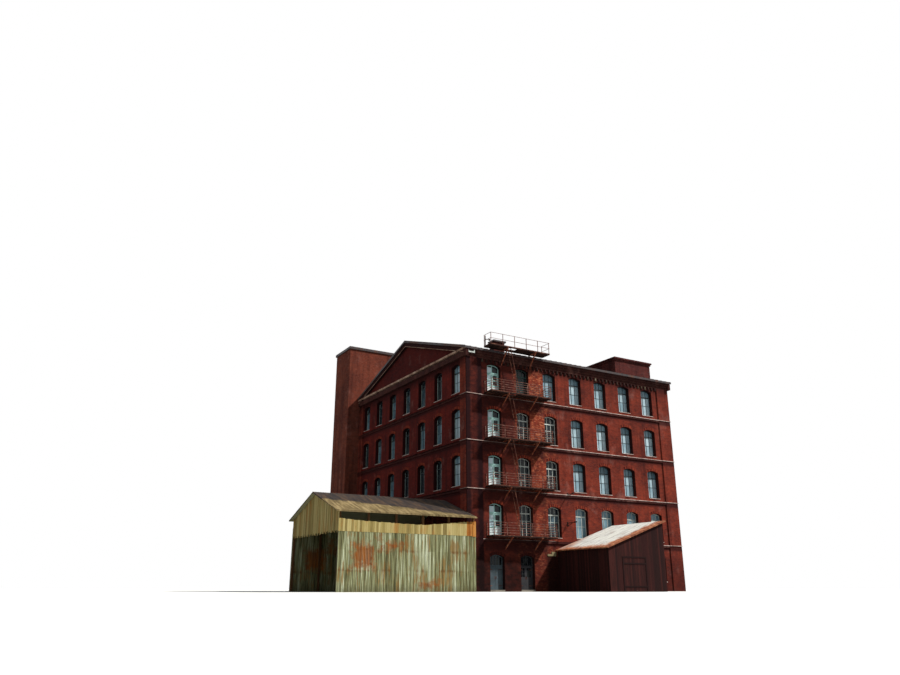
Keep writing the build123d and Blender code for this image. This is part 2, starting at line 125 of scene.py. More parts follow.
class Finish(Graph):
    """A material's nodes."""

    def __init__(self, name, roughness=0.8, metallic=0.0, specular=0.5):
        self.material = bpy.data.materials.new(name)
        self.material.use_nodes = True
        super().__init__(self.material.node_tree)
        self.shader = self.group.nodes["Principled BSDF"]
        self.shader.inputs["Roughness"].default_value = roughness
        self.shader.inputs["Metallic"].default_value = metallic
        self.shader.inputs["Specular IOR Level"].default_value = specular
        self.place = self.add("ShaderNodeTexCoord", output="Object")

    def axes(self, vector=None):
        """The x, y and z of a vector, or of the place on the object."""
        split = self.node("ShaderNodeSeparateXYZ", {0: vector or self.place})
        return [Value(self, part) for part in split.outputs]

    def facing(self):
        """The x, y and z of the direction that the face turns to."""
        return self.axes(self.add("ShaderNodeNewGeometry", output="True Normal"))

    def pick(self, switch, off, on):
        return self.add("ShaderNodeMix", {0: switch, 2: off, 3: on})

    def mottle(self, scale, detail=3.0, rough=0.55, stretch=None):
        """Cloudy noise, here and there squeezed along the axes."""
        place = self.place
        if stretch:
            place = self.add("ShaderNodeVectorMath", {0: place, 1: stretch}, operation="MULTIPLY")
        return self.add("ShaderNodeTexNoise", {"Vector": place, "Scale": scale, "Detail": detail,
                                               "Roughness": rough})

    def over(self, amount, under, top, mode="MIX"):
        return self.add("ShaderNodeMix", {0: amount, 6: shade(under), 7: shade(top)}, 2,
                        data_type="RGBA", blend_type=mode)

    def ramp(self, value, *stops):
        made = self.node("ShaderNodeValToRGB", {0: value})
        steps = made.color_ramp.elements
        steps.remove(steps[1])
        steps[0].position, steps[0].color = stops[0][0], shade(stops[0][1])
        for where, colour in stops[1:]:
            steps.new(where).color = shade(colour)
        return Value(self, made.outputs[0])

    def attribute(self, name):
        return self.add("ShaderNodeAttribute", output="Fac", attribute_name=name)

    def finish(self, base, relief=None, depth=0.002, strength=0.5, roughness=None):
        """Joins the base colour, a bump and a roughness to the shader, and gives the material."""
        self.group.links.new(base.socket, self.shader.inputs["Base Color"])
        if relief is not None:
            bump = self.add("ShaderNodeBump", {"Height": relief, "Distance": depth, "Strength": strength})
            self.group.links.new(bump.socket, self.shader.inputs["Normal"])
        if roughness is not None:
            self.group.links.new(roughness.socket, self.shader.inputs["Roughness"])
        return self.material


def mottled(name, patches, stops, grain, look=(0.85, 0.05, 0.1)):
    """A plain weathered finish: patches (scale, roughness) in a few shades over a fine grain (scale,
    detail, depth, strength). Look is roughness, metallic and specular."""
    made = Finish(name, *look)
    scale, rough = patches
    fine, detail, depth, strength = grain
    base = made.ramp(made.mottle(scale, 5.0, rough), *stops)
    return made.finish(base, made.mottle(fine, detail), depth, strength)


class Repeats(Graph):
    """A Geometry Nodes group that puts copies on points and ends in one plain mesh with one finish."""

    def __init__(self, name, **inputs):
        super().__init__(bpy.data.node_groups.new(name, "GeometryNodeTree"))
        for label, kind in {"Geometry": "Geometry", **inputs, "Finish": "Material"}.items():
            self.group.interface.new_socket(label, in_out="INPUT", socket_type="NodeSocket" + kind)
        self.group.interface.new_socket("Geometry", in_out="OUTPUT", socket_type="NodeSocketGeometry")
        self.entry = self.group.nodes.new("NodeGroupInput")

    def given(self, label="Geometry"):
        return Value(self, self.entry.outputs[label])

    def named(self, name):
        """A value that each point carries."""
        return self.add("GeometryNodeInputNamedAttribute", {"Name": name}, data_type="FLOAT")

    def turned(self, x=0.0, y=0.0, z=0.0):
        return self.add("FunctionNodeEulerToRotation", {0: self.vector(x, y, z)})

    def chance(self, low=0.0, high=1.0):
        return self.add("FunctionNodeRandomValue", {2: low, 3: high, "Seed": self.given("Seed")}, 1,
                        data_type="FLOAT")

    def cube(self, size):
        return self.add("GeometryNodeMeshCube", {"Size": size})

    def copied(self, unit, points, turn, scale=(1, 1, 1)):
        return self.add("GeometryNodeInstanceOnPoints", {"Points": points, "Instance": unit,
                                                         "Rotation": turn, "Scale": scale})

    def varied(self, copies, name="shade"):
        """The copies, each with a random value under a name for its finish."""
        return self.add("GeometryNodeStoreNamedAttribute", {
            "Geometry": copies, "Name": name, "Value": self.chance()}, data_type="FLOAT", domain="INSTANCE")

    def real(self, copies):
        return self.add("GeometryNodeRealizeInstances", {0: copies})

    def close(self, copies):
        coated = self.add("GeometryNodeSetMaterial", {"Geometry": self.real(copies),
                                                      "Material": self.given("Finish")})
        self.group.links.new(coated.socket, self.group.nodes.new("NodeGroupOutput").inputs[0])
        return self.group


def stand_object(name, data):
    """An object at the origin, holding the given data."""
    made = bpy.data.objects.new(name, data)
    bpy.context.scene.collection.objects.link(made)
    return made


def plain_mesh(name, points, faces):
    mesh = bpy.data.meshes.new(name)
    mesh.from_pydata(points, [], faces)
    mesh.validate()
    mesh.update()
    return mesh


def store(mesh, name, values):
    """Gives each point of a mesh a value under a name."""
    for item, value in zip(mesh.attributes.new(name, "FLOAT", "POINT").data, values):
        item.value = value


def dress(material, slot, *names):
    """Gives CAD nodes a finish. Their shape stays."""
    for name in names:
        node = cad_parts[name]
        node.data.materials.clear()
        node.data.materials.append(material)


BLOCK_FACES = ((0, 2, 3, 1), (4, 5, 7, 6), (0, 1, 5, 4), (2, 6, 7, 3), (0, 4, 6, 2), (1, 3, 7, 5))
ARC_STEPS = 12


class Shape:
    """Points and faces, put together from closed blocks. Each point has a value for its finish."""

    def __init__(self):
        self.points, self.faces, self.values = [], [], []

    def add(self, points, faces, value=1.0):
        first = len(self.points)
        self.points += points
        self.faces += [tuple(first + i for i in face) for face in faces]
        self.values += value if isinstance(value, list) else [value] * len(points)

    def block(self, x0, x1, y0, y1, z0, z1, value=1.0):
        self.add([(x, y, z) for z in (z0, z1) for y in (y0, y1) for x in (x0, x1)], BLOCK_FACES, value)

    def head(self, x0, x1, y0, y1, crown, thick):
        """A curved head piece from x0 to x1, under an arch with the given crown."""
        points = []
        for i in range(ARC_STEPS + 1):
            x = x0 + (x1 - x0) * i / ARC_STEPS
            high = arc_height(x, crown)
            points += [(x, y0, high - thick), (x, y0, high), (x, y1, high), (x, y1, high - thick)]
        last = 4 * ARC_STEPS
        faces = [(0, 1, 2, 3), (last + 3, last + 2, last + 1, last)]
        for a in range(0, last, 4):
            faces += [(a + j, a + 4 + j, a + 4 + (j + 1) % 4, a + (j + 1) % 4) for j in range(4)]
        self.add(points, faces)

    def mesh(self, name, values_name=None):
        made = plain_mesh(name, self.points, self.faces)
        if values_name:
            store(made, values_name, self.values)
        return made

    def piece(self, name, material, slot, body="building", values_name=None):
        """Stands the shape in the scene as a piece of its own."""
        made = stand_object(name, self.mesh(name, values_name))
        made.data.materials.append(material)
        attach(made, body)


def places_mesh(name, places):
    """Loose points for copies: x, y and z, a turn about the upright and a tone."""
    mesh = plain_mesh(name, [place[:3] for place in places], [])
    store(mesh, "turn", [place[3] for place in places])
    store(mesh, "tone", [place[4] if len(place) > 4 else 0.0 for place in places])
    return mesh


def grown(name, mesh, group, values):
    """Runs a node group on a mesh with the named values and keeps the result as a plain mesh."""
    made = stand_object(name, mesh)
    modifier = made.modifiers.new(name, "NODES")
    modifier.node_group = group
    for item in group.interface.items_tree:
        if item.in_out == "INPUT" and item.name in values:
            modifier[item.identifier] = values[item.name]
    bpy.context.view_layer.update()
    grown_mesh = made.evaluated_get(bpy.context.evaluated_depsgraph_get())
    plain = bpy.data.meshes.new_from_object(grown_mesh)
    made.modifiers.remove(modifier)
    made.data = plain
    made.data.name = name
    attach(made, "building")
    return made


def copies_group():
    """Copies of a unit on points, turned by each point's turn, each with a random shade."""
    group = Repeats("copies of one unit", Unit="Object", Seed="Int")
    unit = group.add("GeometryNodeObjectInfo", {"Object": group.given("Unit")}, "Geometry")
    return group.close(group.varied(group.copied(unit, group.given(), group.turned(z=group.named("turn")))))


copies = copies_group()


def repeated(name, unit_mesh, places, material, seed):
    """A unit, modelled at the origin and facing -Y, copied to x, y, z, turn, tone."""
    unit = stand_object(name + "_unit", unit_mesh)
    made = grown(name, places_mesh(name, places), copies,
                 {"Unit": unit, "Seed": seed, "Finish": material})
    bpy.data.objects.remove(unit)
    return made


def box_of(name):
    """Lowest and highest corner of a CAD node at rest, to a tenth of a millimetre."""
    return [[round(value, 4) for value in corner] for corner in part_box(name)]


# Sizes that several pieces share, in metres. The mill stands with its long front towards -Y.
(x_left, y_front, _), (x_right, _, _) = box_of("front_wall_upper")
y_back = box_of("back_wall")[1][1]
storey = 4.25
floor_levels = [4.2 + storey * i for i in range(4)]
eave, roof_slab = box_of("eaves_cornices")[1][2], 0.2
ridge_rise = box_of("left_gable_wall")[1][2] - eave
opening_width, arch_rise, window_height, sill_height = 1.5, 0.22, 2.75, 0.45
ground_sill, ground_crown, door_sill = 0.9, 3.05, 0.15
front_margin, gable_margin, columns = 2.975, 1.99, 7
pier_width, pier_side = 1.5, 1.05       # corner pilasters on the long sides and on the gable ends
(tower_left, _, _), (tower_right, tower_face, _) = box_of("tower_walls")
(shed_x0, shed_y0, _), (_, _, shed_top) = box_of("shed_front_wall")
_, (_, shed_y1, shed_board_top) = box_of("shed_back_wall")
(shed_roof_x0, _, _), (_, shed_yr, _) = box_of("shed_front_roof")
shed_length, shed_eave, shed_rise, shed_slab = x_left - shed_x0, 5.95, 1.8, 0.08
shed_overhang = shed_x0 - shed_roof_x0
(low_x0, low_y0, _), (low_x1, _, _) = box_of("low_shed_front_wall")
low_eave, low_slope = 3.55, 2.23 / (low_x1 - low_x0)
(deck_x0, deck_y0, _), (deck_x1, _, _) = box_of("second_storey_deck")
deck_tops = [level + 0.4 for level in floor_levels] + [box_of("roof_platform")[1][2]]

# Camera, light and floor: the mill is seen from low down at its front left corner, with the sun
# high on the right of the long front, which leaves the left gable end in the shade.
eye = (-47.096, -67.895, 0.253)
look_up, look_right = 0.323465, 0.529278
to_sun = Vector((1.34, -1.0, 1.78))

camera = stand_object("camera", bpy.data.cameras.new("camera"))
camera.data.sensor_width = 36
camera.data.lens = 29.965
camera.data.clip_start, camera.data.clip_end = 0.5, 600
camera.location = eye
camera.rotation_euler = (math.pi / 2 + look_up, 0, -look_right)
bpy.context.scene.camera = camera
bpy.context.scene.view_settings.view_transform = "Standard"

sun = stand_object("sun", bpy.data.lights.new("sun", "SUN"))
sun.data.energy = 4.9
sun.data.angle = math.radians(2.5)
sun.data.color = (1.0, 0.965, 0.91)
sun.rotation_euler = to_sun.to_track_quat("Z", "Y").to_euler()

# white to the camera and in the glass, and a dimmer blue for the light that fills the shade
world = bpy.data.worlds.new("pale sky")
bpy.context.scene.world = world
world.use_nodes = True
world.node_tree.nodes.clear()
sky = Graph(world.node_tree)
rays = sky.node("ShaderNodeLightPath").outputs
seen = largest(*[Value(sky, rays[f"Is {kind} Ray"]) for kind in ("Camera", "Glossy", "Transmission")])
fill = sky.add("ShaderNodeBackground", {"Color": (0.90, 0.96, 1.0, 1), "Strength": 0.34})
backdrop = sky.add("ShaderNodeBackground", {"Color": (1, 1, 1, 1), "Strength": 1.0})
either = sky.add("ShaderNodeMixShader", {0: seen, 1: fill, 2: backdrop})
sky.node("ShaderNodeOutputWorld", {"Surface": either})

# pale to the camera, and duller for the light that it throws back on the walls
pale = Finish("pale_floor", roughness=0.9, specular=0.2)
seen_floor = pale.over(pale.mottle(0.35), (0.80, 0.80, 0.79, 1), (0.84, 0.84, 0.83, 1))
pale.finish(pale.over(pale.add("ShaderNodeLightPath", output="Is Camera Ray"), (0.30, 0.30, 0.295, 1),
                      seen_floor))
reach, below = 260, -0.002
floor = stand_object("floor", plain_mesh("floor", [
    (-reach, -reach, below), (reach, -reach, below), (reach, reach, below), (-reach, reach, below)],
    [(0, 1, 2, 3)]))
floor.data.materials.append(pale.material)

# Brick walls: fired clay bricks of 252 x 67 mm face in lime mortar. The clay goes from deep maroon to
# orange red, with soot and painted shadow under the eaves and below the ledges, and damp at the foot.
brick_length, course, joint_half = 0.262, 0.077, 0.005


def brickwork(name, deep, warm, lime, soot_and_shadow_level=20.1, stains=1.0, ledges=True):
    """Brick whose courses run level on every face, whichever way that face turns. Ledges also brings
    the stains, painted shade and painted highlight that the mill's own walls have."""
    clay = Finish(name, roughness=0.9, specular=0.06)
    x, y, z = clay.axes()
    turn_x, _, turn_z = clay.facing()
    run, rise = clay.pick(abs(turn_x) > 0.7, x, y), clay.pick(abs(turn_z) > 0.7, z, y)
    courses = clay.node("ShaderNodeTexBrick", {
        "Vector": clay.vector(run, rise), "Color1": (0, 0, 0, 1), "Color2": (1, 1, 1, 1),
        "Mortar": (0.5, 0.5, 0.5, 1), "Scale": 1.0, "Mortar Size": joint_half, "Mortar Smooth": 0.2,
        "Brick Width": brick_length, "Row Height": course}, offset=0.5, offset_frequency=2)
    each, joint = Value(clay, courses.outputs[0]), Value(clay, courses.outputs[1])
    patch = clay.mottle(0.33, 4.0, 0.6)
    speck = clay.mottle(1.5, 5.0, 0.72, (1, 1, 1.9))
    fleck = clay.mottle(3.4, 3.0, 0.7, (1, 1, 1.7))
    tone = patch.between(0.38, 0.62, 0, 0.46) + speck.between(0.38, 0.62, 0, 0.30)
    base = clay.over(tone + fleck.between(0.38, 0.62, 0, 0.24), deep, warm)
    base = clay.over(each * 0.42, base, (0.06, 0.02, 0.016, 1), "MULTIPLY")
    base = clay.over(each.between(0.72, 1.0) * 0.42, base, warm)
    rows = clay.mottle(1.0, 3.0, 0.7, (0.12, 0.12, 2.6))
    base = clay.over(rows.between(0.50, 0.72) * 0.34, base, deep)
    base = clay.over(joint, base, lime)
    if ledges:
        # painted highlight: lighter orange bricks round the second column of the front
        warm_highlight = x.between(-7.7, -6.9) * x.between(-2.2, -4.2) * fleck.between(0.42, 0.60) * (y < -11.5)
        fresh = clay.over(each.between(0.45, 0.75), (150, 62, 38), (230, 142, 100))
        base = clay.over(warm_highlight * z.between(10.0, 13.0, 0.34, 0.62), base, fresh)
    # salts bloom in pale pinkish clouds
    bloom = clay.mottle(0.55, 5.0, 0.7, (1, 1, 0.7)).between(0.58, 0.74) * 0.34
    base = clay.over(bloom, base, (176, 128, 118))
    # rain streaks, soot and painted shadow of the cornice at the top, and soot at the foot
    streak = clay.mottle(1.0, 3.0, 0.6, (1.6, 1.6, 0.10))
    top = (z + streak * 1.6).between(soot_and_shadow_level, soot_and_shadow_level + 1.1) * z.between(
        eave, eave + 0.05, 0.85, 0.4 if ledges else 0.85)
    foot = (z + patch * 3.0).between(6.2, 2.4) * 0.62
    dark = largest(streak.between(0.48, 0.68) * (0.55 * stains), top, foot)
    if ledges:
        above = (z - 0.055) % storey
        # painted shadow: a dark band under every ledge, streaked with soot
        ledge_soot_and_shadow = largest(above.between(3.0, 4.0) * streak.between(0.36, 0.64, 0.0, 0.8),
                             above.between(3.62, 3.84, 0.0, 0.86)) * z.between(3.0, 3.4)
        # painted shadow of the decks, which leaves the left corner pier black
        pier_shade = largest(x.between(-12.15, -12.4), x.between(-11.75, -11.4) * x.between(-10.7, -11.0)) * 0.42
        pier_shade = pier_shade + x.between(-10.8, -11.1) * speck.between(0.36, 0.6, 0.82, 0.62)
        # painted shade on the first bay, most of all high up, and painted shadow under the decks
        bay_shade = x.between(-7.15, -7.55) * z.between(11.8, 13.4, 0.40, 0.80) * speck.between(
            0.36, 0.6, 1.1, 0.8)
        deck_shadow = x.between(-3.7, -4.3) * x.between(-11.2, -10.8) * above.between(2.7, 3.4, 0.0, 0.85)
        dark = largest(dark, ledge_soot_and_shadow, largest(pier_shade, bay_shade, deck_shadow) * (y < -11.9))
    base = clay.over(clay.calc("MULTIPLY", dark, 0.92, True), base, (38, 17, 19))
    if ledges:
        # damp and painted shadow round the doors, and painted shadow beside the low shed
        damp_and_shade = largest(z.between(3.4, 2.3) * x.between(-5.5, -6.1) * speck.between(0.35, 0.6, 0.94, 0.66),
                       x.between(-4.5, -4.1) * x.between(3.5, 3.4) * z.between(3.4, 2.9, 0.0, 0.8))
        base = clay.over(damp_and_shade * (y < -11.5), base, (26, 14, 13))
        # painted shade in the sides of the openings
        inside = clay.calc("MINIMUM", x_right - abs(x), y_back - abs(y))
        base = clay.over(inside.between(0.02, 0.06) * inside.between(0.7, 0.6) * 0.80, base, (30, 19, 23))
    return clay.finish(base, clay.mottle(28.0, 4.0) * 0.4 - joint, 0.006, 0.55,
                       clay.mottle(9.0).between(0.3, 0.7, 0.82, 0.97))


dress(brickwork("weathered_wall_brick", (70, 25, 26), (158, 63, 43), (122, 82, 70)), "brick",
      "front_wall_left", "front_wall_pier", "front_wall_right", "front_wall_upper", "back_wall",
      "right_gable_wall", "corner_pilasters")
# the left gable end, which stands in the shade, has a darker copy of the wall brick: painted shade
dress(brickwork("dark_gable_brick", (66, 20, 22), (128, 42, 34), (92, 54, 48)), "brick", "left_gable_wall")

# Openings: one row for each storey of each side, as the walls have them.
Opening = namedtuple("Opening", "kind x y low crown turn column storey")
FRONT, LEFT, RIGHT, BACK = 0.0, -math.pi / 2, math.pi / 2, math.pi
front_centres = [x_left + front_margin + (x_right - x_left - 2 * front_margin) / (columns - 1) * i
                 for i in range(columns)]
gable_centres = [y_front + gable_margin + (y_back - y_front - 2 * gable_margin) / (columns - 1) * i
                 for i in range(columns)]
openings = []


def open_row(kind, turn, row, level):
    """Adds a row of openings. Level 0 is the ground storey."""
    low = floor_levels[level - 1] + sill_height if level else ground_sill
    crown = low + window_height if level else ground_crown
    if kind == "entrance":
        low = door_sill
    for column in row:
        if kind == "tower":
            x, y = (tower_left + tower_right) / 2, tower_face
        elif turn in (FRONT, BACK):
            x, y = front_centres[column], y_front if turn == FRONT else y_back
        else:
            x, y = (x_left if turn == LEFT else x_right), gable_centres[column]
        openings.append(Opening(kind, x, y, low, crown, turn, column, level))


open_row("entrance", FRONT, (0, 1), 0)
open_row("front", FRONT, (5, 6), 0)
open_row("left", LEFT, range(3, 7), 0)
open_row("right", RIGHT, range(7), 0)
open_row("back", BACK, range(1, 7), 0)
for level in range(1, 5):
    open_row("balcony", FRONT, (0,), level)
    open_row("front", FRONT, range(1, 7), level)
    open_row("left", LEFT, range(3 if level == 1 else 0, 7), level)
    open_row("right", RIGHT, range(7), level)
    open_row("back", BACK, range(1, 7), level)
    open_row("tower", BACK, (0,), level)

# Arches: a ring of bricks set on end round the head of every opening, a little proud of the wall.
# Their clay is more orange than the wall's, and the joints open outwards.
arch_radius = ((opening_width / 2) ** 2 + arch_rise ** 2) / (2 * arch_rise)
arch_half_angle = math.asin(opening_width / 2 / arch_radius) + 0.012
arch_bricks, arch_brick, arch_depth, arch_proud = 19, (0.069, 0.25), 0.05, 0.014


def arc_height(x, crown):
    """Height of the segmental head, x to the side of its crown."""
    return crown - arch_radius + math.sqrt(max(arch_radius * arch_radius - x * x, 0))


def arch_group():
    """Bricks round an arc: a row of points bent to the arc, a block on each, all on every opening."""
    group = Repeats("brick arches", Seed="Int")
    wide, tall = arch_brick
    share = (group.add("GeometryNodeInputIndex") + 0.5) * (1 / arch_bricks)
    angle = (share * 2.0 - 1.0) * arch_half_angle
    out = arch_radius + tall / 2
    row = group.add("GeometryNodeSetPosition", {
        "Geometry": group.add("GeometryNodeMeshLine", {"Count": arch_bricks}),
        "Position": group.vector(group.calc("SINE", angle) * out, arch_depth / 2 - arch_proud,
                                group.calc("COSINE", angle) * out - arch_radius)})
    brick = group.cube((wide, arch_depth, tall))
    ring = group.varied(group.copied(brick, row, group.turned(y=angle)), "brick")
    return group.close(group.copied(group.real(ring), group.given(), group.turned(z=group.named("turn"))))


arch_clay = Finish("orange_arch_brick", roughness=0.88, specular=0.06)
tone = arch_clay.attribute("brick") * 0.6 + arch_clay.mottle(0.5, 4.0) * 0.5
base = arch_clay.ramp(tone, (0.15, (66, 24, 24)), (0.5, (108, 42, 34)), (0.95, (166, 76, 50)))
height = arch_clay.axes()[2]
# soot and painted shadow: the arches are darker high under the eaves and at the ground storey
soot_and_shade = largest(height.between(19.0, 20.0), height.between(3.6, 3.2)) * 0.85
arch_clay.finish(arch_clay.over(soot_and_shade, base, (42, 19, 20)), arch_clay.mottle(30.0, 4.0), 0.004, 0.6)
grown("brick_arches", places_mesh("brick_arches", [(o.x, o.y, o.crown, o.turn) for o in openings]),
      arch_group(), {"Seed": 7, "Finish": arch_clay.material})

# Window joinery: painted timber frames with three lights across, a heavy transom under the curved
# head and thin bars below it, set back in each opening. The paint is pale, and grey-green where worn.
jamb, transom, mullion, bar, foot_rail = 0.07, 0.10, 0.045, 0.036, 0.075
frame_out, frame_in, pane_face, pane_thick = 0.352, 0.42, 0.387, 0.005
play, transom_share, lights = 0.012, 0.73, 3
half = opening_width / 2 - play


def sash_mesh(name, tall, rows):
    """Frame, transom, mullions and bars of one window, sill at zero. Rows are heights of bars.
    The left jamb has the value 0 and keeps the pale paint, a painted highlight of the sunlit jamb."""
    sash = Shape()
    crown, inner, level = tall - play, half - jamb, tall * transom_share
    spring = arc_height(half, crown) + 0.01
    sash.block(-half, -inner, frame_out, frame_in, 0, spring, 0.0)
    sash.block(inner, half, frame_out, frame_in, 0, spring)
    sash.block(-inner, inner, frame_out, frame_in, 0, foot_rail)
    sash.head(-half, half, frame_out, frame_in, crown, jamb)
    sash.block(-inner, inner, frame_out - 0.018, frame_in - 0.005, level - transom / 2, level + transom / 2)
    for i in range(1, lights):
        x = -inner + 2 * inner * i / lights
        sash.block(x - mullion / 2, x + mullion / 2, frame_out + 0.008, frame_in - 0.01, foot_rail,
                   arc_height(x, crown) - jamb / 2)
    for z in rows:
        sash.block(-inner, inner, frame_out + 0.014, frame_in - 0.02, z - bar / 2, z + bar / 2)
    return sash.mesh(name, "member")


def panes_mesh(name, tall, rows, seed):
    """The panes behind the bars, each a thin plate with its own tone and a slight tilt."""
    chance = random.Random(seed)
    panes = Shape()
    wide = opening_width - 0.08
    levels = [0.05, *rows, tall * transom_share]
    for i in range(lights):
        x0, x1 = -wide / 2 + wide * i / lights, -wide / 2 + wide * (i + 1) / lights
        for z0, z1 in zip(levels, levels[1:] + [None]):
            tilt, lean = chance.uniform(-.004, .004), chance.uniform(-.004, .004)
            # the curved top light is darker, a painted shadow of the head, and each pane further right a
            # little darker, a painted shadow of the right reveal
            tone = 0.5 + 0.35 * chance.random() - (0.0 if z1 else 0.3) - 0.07 * i
            if z1:
                outline = [(x0, z0), (x1, z0), (x1, z1), (x0, z1)]
            else:
                tops = [x1 + (x0 - x1) * k / 4 for k in range(5)]
                outline = [(x0, z0), (x1, z0)] + [(x, arc_height(x, tall - 0.03)) for x in tops]
            n = len(outline)
            middle, centre = [sum(part) / n for part in zip(*outline)]
            points = [(x, y + tilt * (x - middle) * 2 + lean * (z - centre), z)
                      for y in (pane_face, pane_face + pane_thick) for x, z in outline]
            rims = [(k, n + k, n + (k + 1) % n, (k + 1) % n) for k in range(n)]
            panes.add(points, [tuple(range(n)), tuple(reversed(range(n, 2 * n))), *rims], tone)
    return panes.mesh(name, "pane")


def paint(name, fresh, worn, under, member=None, stain=0.35):
    """Old brush paint over timber: faded, with grey grain showing where it has flaked."""
    coat = Finish(name, roughness=0.6, specular=0.2)
    fade = coat.mottle(1.4, 4.0) + coat.attribute("shade") * 0.25
    base = coat.over(fade.between(0.42, 0.80), fresh, worn)
    if member:
        base = coat.over(coat.attribute("member"), base, member)
    flake = coat.mottle(22.0, 4.0, 0.7, (1, 1, 0.18))
    gone = flake.between(0.60, 0.66)
    base = coat.over(gone, base, under)
    drip = coat.mottle(2.0, 3.0, 0.6, (3.0, 3.0, 0.35))
    base = coat.over(drip.between(0.55, 0.75) * stain, base, (62, 56, 50))
    return coat.finish(base, flake - gone, 0.002, 0.5, flake.between(0.3, 0.8, 0.48, 0.9))


white_paint = paint("white_glazing_paint", (214, 222, 216), (176, 186, 180), (120, 108, 96))
coats = {"pale": paint("pale_window_paint", (172, 190, 184), (128, 146, 142), (74, 66, 60), (44, 56, 60)),
         "teal": paint("dark_teal_window_paint", (58, 84, 80), (42, 60, 58), (84, 76, 66)),
         "white": white_paint}

# a window's tone and each pane's decide how dark the glass is
glass = Finish("old_window_glass", roughness=0.12, specular=0.25)
tone = glass.attribute("tone") + (glass.attribute("pane") - 0.5) * 0.42
tone = glass.calc("ADD", tone, (glass.mottle(1.1, 3.0) - 0.5) * 0.35, True)
# the pale end of the ramp is milky glass and, in part, a painted reflection of the bright sky
base = glass.ramp(tone, (0.0, (8, 13, 18)), (0.32, (24, 36, 44)), (0.60, (118, 152, 168)),
                  (1.0, (218, 240, 248)))
grime = glass.mottle(1.6, 4.0, 0.7, (1.0, 1.0, 0.45))
glass.finish(glass.over(grime.between(0.5, 0.75) * 0.4, base, (84, 92, 84)), glass.mottle(2.2, 2.0),
             0.01, 0.12, grime.between(0.35, 0.7, 0.08, 0.45))

# the front's columns and storeys with close bars, and the tones of its darker windows
barred = {1: (1, 2, 3, 4), 2: (1, 2, 3)}
front_tones = {(1, 4): .10, (1, 3): .12, (1, 2): .14, (1, 1): .18, (2, 3): .22, (2, 2): .2, (2, 1): .3,
               (2, 4): .62, (3, 1): .56, (4, 1): .58, (5, 1): .62, (6, 1): .62, (4, 2): .66}
other_tones = {"left": (.08, .14, .3, .42)}
chance = random.Random(11)
frames = {}
for o in openings:
    if o.kind in ("entrance", "balcony"):
        continue
    close, coat = o.kind == "front" and o.storey in barred.get(o.column, ()), "pale"
    if o.kind == "front":
        tone = 0.15
        if o.storey:
            tone = front_tones.get((o.column, o.storey), 0.74 + chance.uniform(-.08, .08))
        if o.storey == 1 or close:
            coat = "white" if o.storey < 4 else "teal"
    else:
        tone = chance.choice(other_tones.get(o.kind, (0.10, 0.16, 0.3, 0.5)))
        if o.kind == "left" and o.column == 0:
            tone = 0.7
    style = ("close" if close else "plain") if o.storey else "short"
    frames.setdefault((style, coat, o.kind), []).append((o.x, o.y, o.low, o.turn, tone))
# each style's height and the heights of its bars below the transom
styles = {"short": (ground_crown - ground_sill, [0.85]), "close": (window_height, [0.72, 1.36]),
          "plain": (window_height, [1.10])}
for side in ("front", "left", "right", "back"):
    for (style, coat, kind), places in sorted(frames.items()):
        if kind != side and (kind, side) != ("tower", "back"):
            continue
        label = f"{kind}_{style}_{coat}"
        repeated(label + "_frames", sash_mesh(label, *styles[style]), places, coats[coat],
                 len(label))
        glazing = repeated(label + "_panes", panes_mesh(label, *styles[style], len(places)), places,
                           glass.material, 5)
        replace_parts(glazing, side + "_windows")

# Balcony doors: a pair of painted doors in each opening of the first column, with a curved fixed
# light above, two panes in each leaf and a boarded panel below. The panel's paint is the whitest.
jamb, stile, boards_wide = 0.08, 0.09, 4
leaf_gap, leaf_foot, leaf_head, board_gap = 0.006, 0.02, 1.88, 0.003
door_crown = window_height - play
# heights of each leaf's rails and panes, and of the fixed light, with the tones of the left panes
rail_levels = ((leaf_foot, 0.14), (0.66, 0.78), (1.22, 1.28), (1.76, leaf_head))
pane_levels = ((0.76, 1.24, 1.8), (1.26, 1.78, 2.1))
light_low, light_high, light_tone = 2.0, 2.52, 2.3
doors, door_panes = Shape(), Shape()
for side in (-1, 1):
    doors.block(*sorted((side * half, side * (half - jamb))), frame_out, frame_in, 0,
                arc_height(half, door_crown) + 0.01)
    x0, x1 = sorted((side * leaf_gap, side * (half - jamb - 0.005)))
    for low, high in rail_levels:
        doors.block(x0, x1, frame_out - 0.01, frame_in - 0.02, low, high, 0.0 if low < 0.5 else 1.0)
    for edge in (x0, x1 - stile):
        doors.block(edge, edge + stile, frame_out - 0.006, frame_in - 0.016, leaf_foot, leaf_head,
                    [0.0] * 4 + [1.0] * 4)
    board = (x1 - x0 - 2 * stile) / boards_wide
    for i in range(boards_wide):
        x = x0 + stile + board * i
        doors.block(x + board_gap, x + board - board_gap, frame_out + 0.006, frame_in - 0.03, 0.13, 0.67, 0.0)
    x0, x1 = sorted((side * stile, side * (half - jamb - stile)))
    for low, high, tone in pane_levels:
        door_panes.block(x0, x1, 0.38, 0.385, low, high, tone if side < 0 else -0.2)
    x0, x1 = sorted((side * 0.02, side * (half - 0.07)))
    door_panes.block(x0, x1, 0.38, 0.385, light_low, light_high, light_tone if side < 0 else 0.3)
doors.block(-half + jamb, half - jamb, frame_out - 0.02, frame_in, leaf_head + 0.02, light_low + 0.01)
doors.block(-0.03, 0.03, frame_out, frame_in - 0.01, light_low, window_height - 0.05)
doors.head(-half, half, frame_out, frame_in, door_crown, jamb)
bright_paint = paint("bright_balcony_door_paint", (244, 252, 252), (222, 238, 238), (196, 200, 196),
                     (176, 222, 216), 0.12)
balcony_places = [(o.x, o.y, o.low, o.turn, 0.34) for o in openings if o.kind == "balcony"]
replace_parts(repeated("balcony_door_frames", doors.mesh("balcony_door", "member"), balcony_places,
                     bright_paint, 4), "balcony_doors")
repeated("balcony_door_panes", door_panes.mesh("balcony_panes", "pane"), balcony_places, glass.material,
         9)
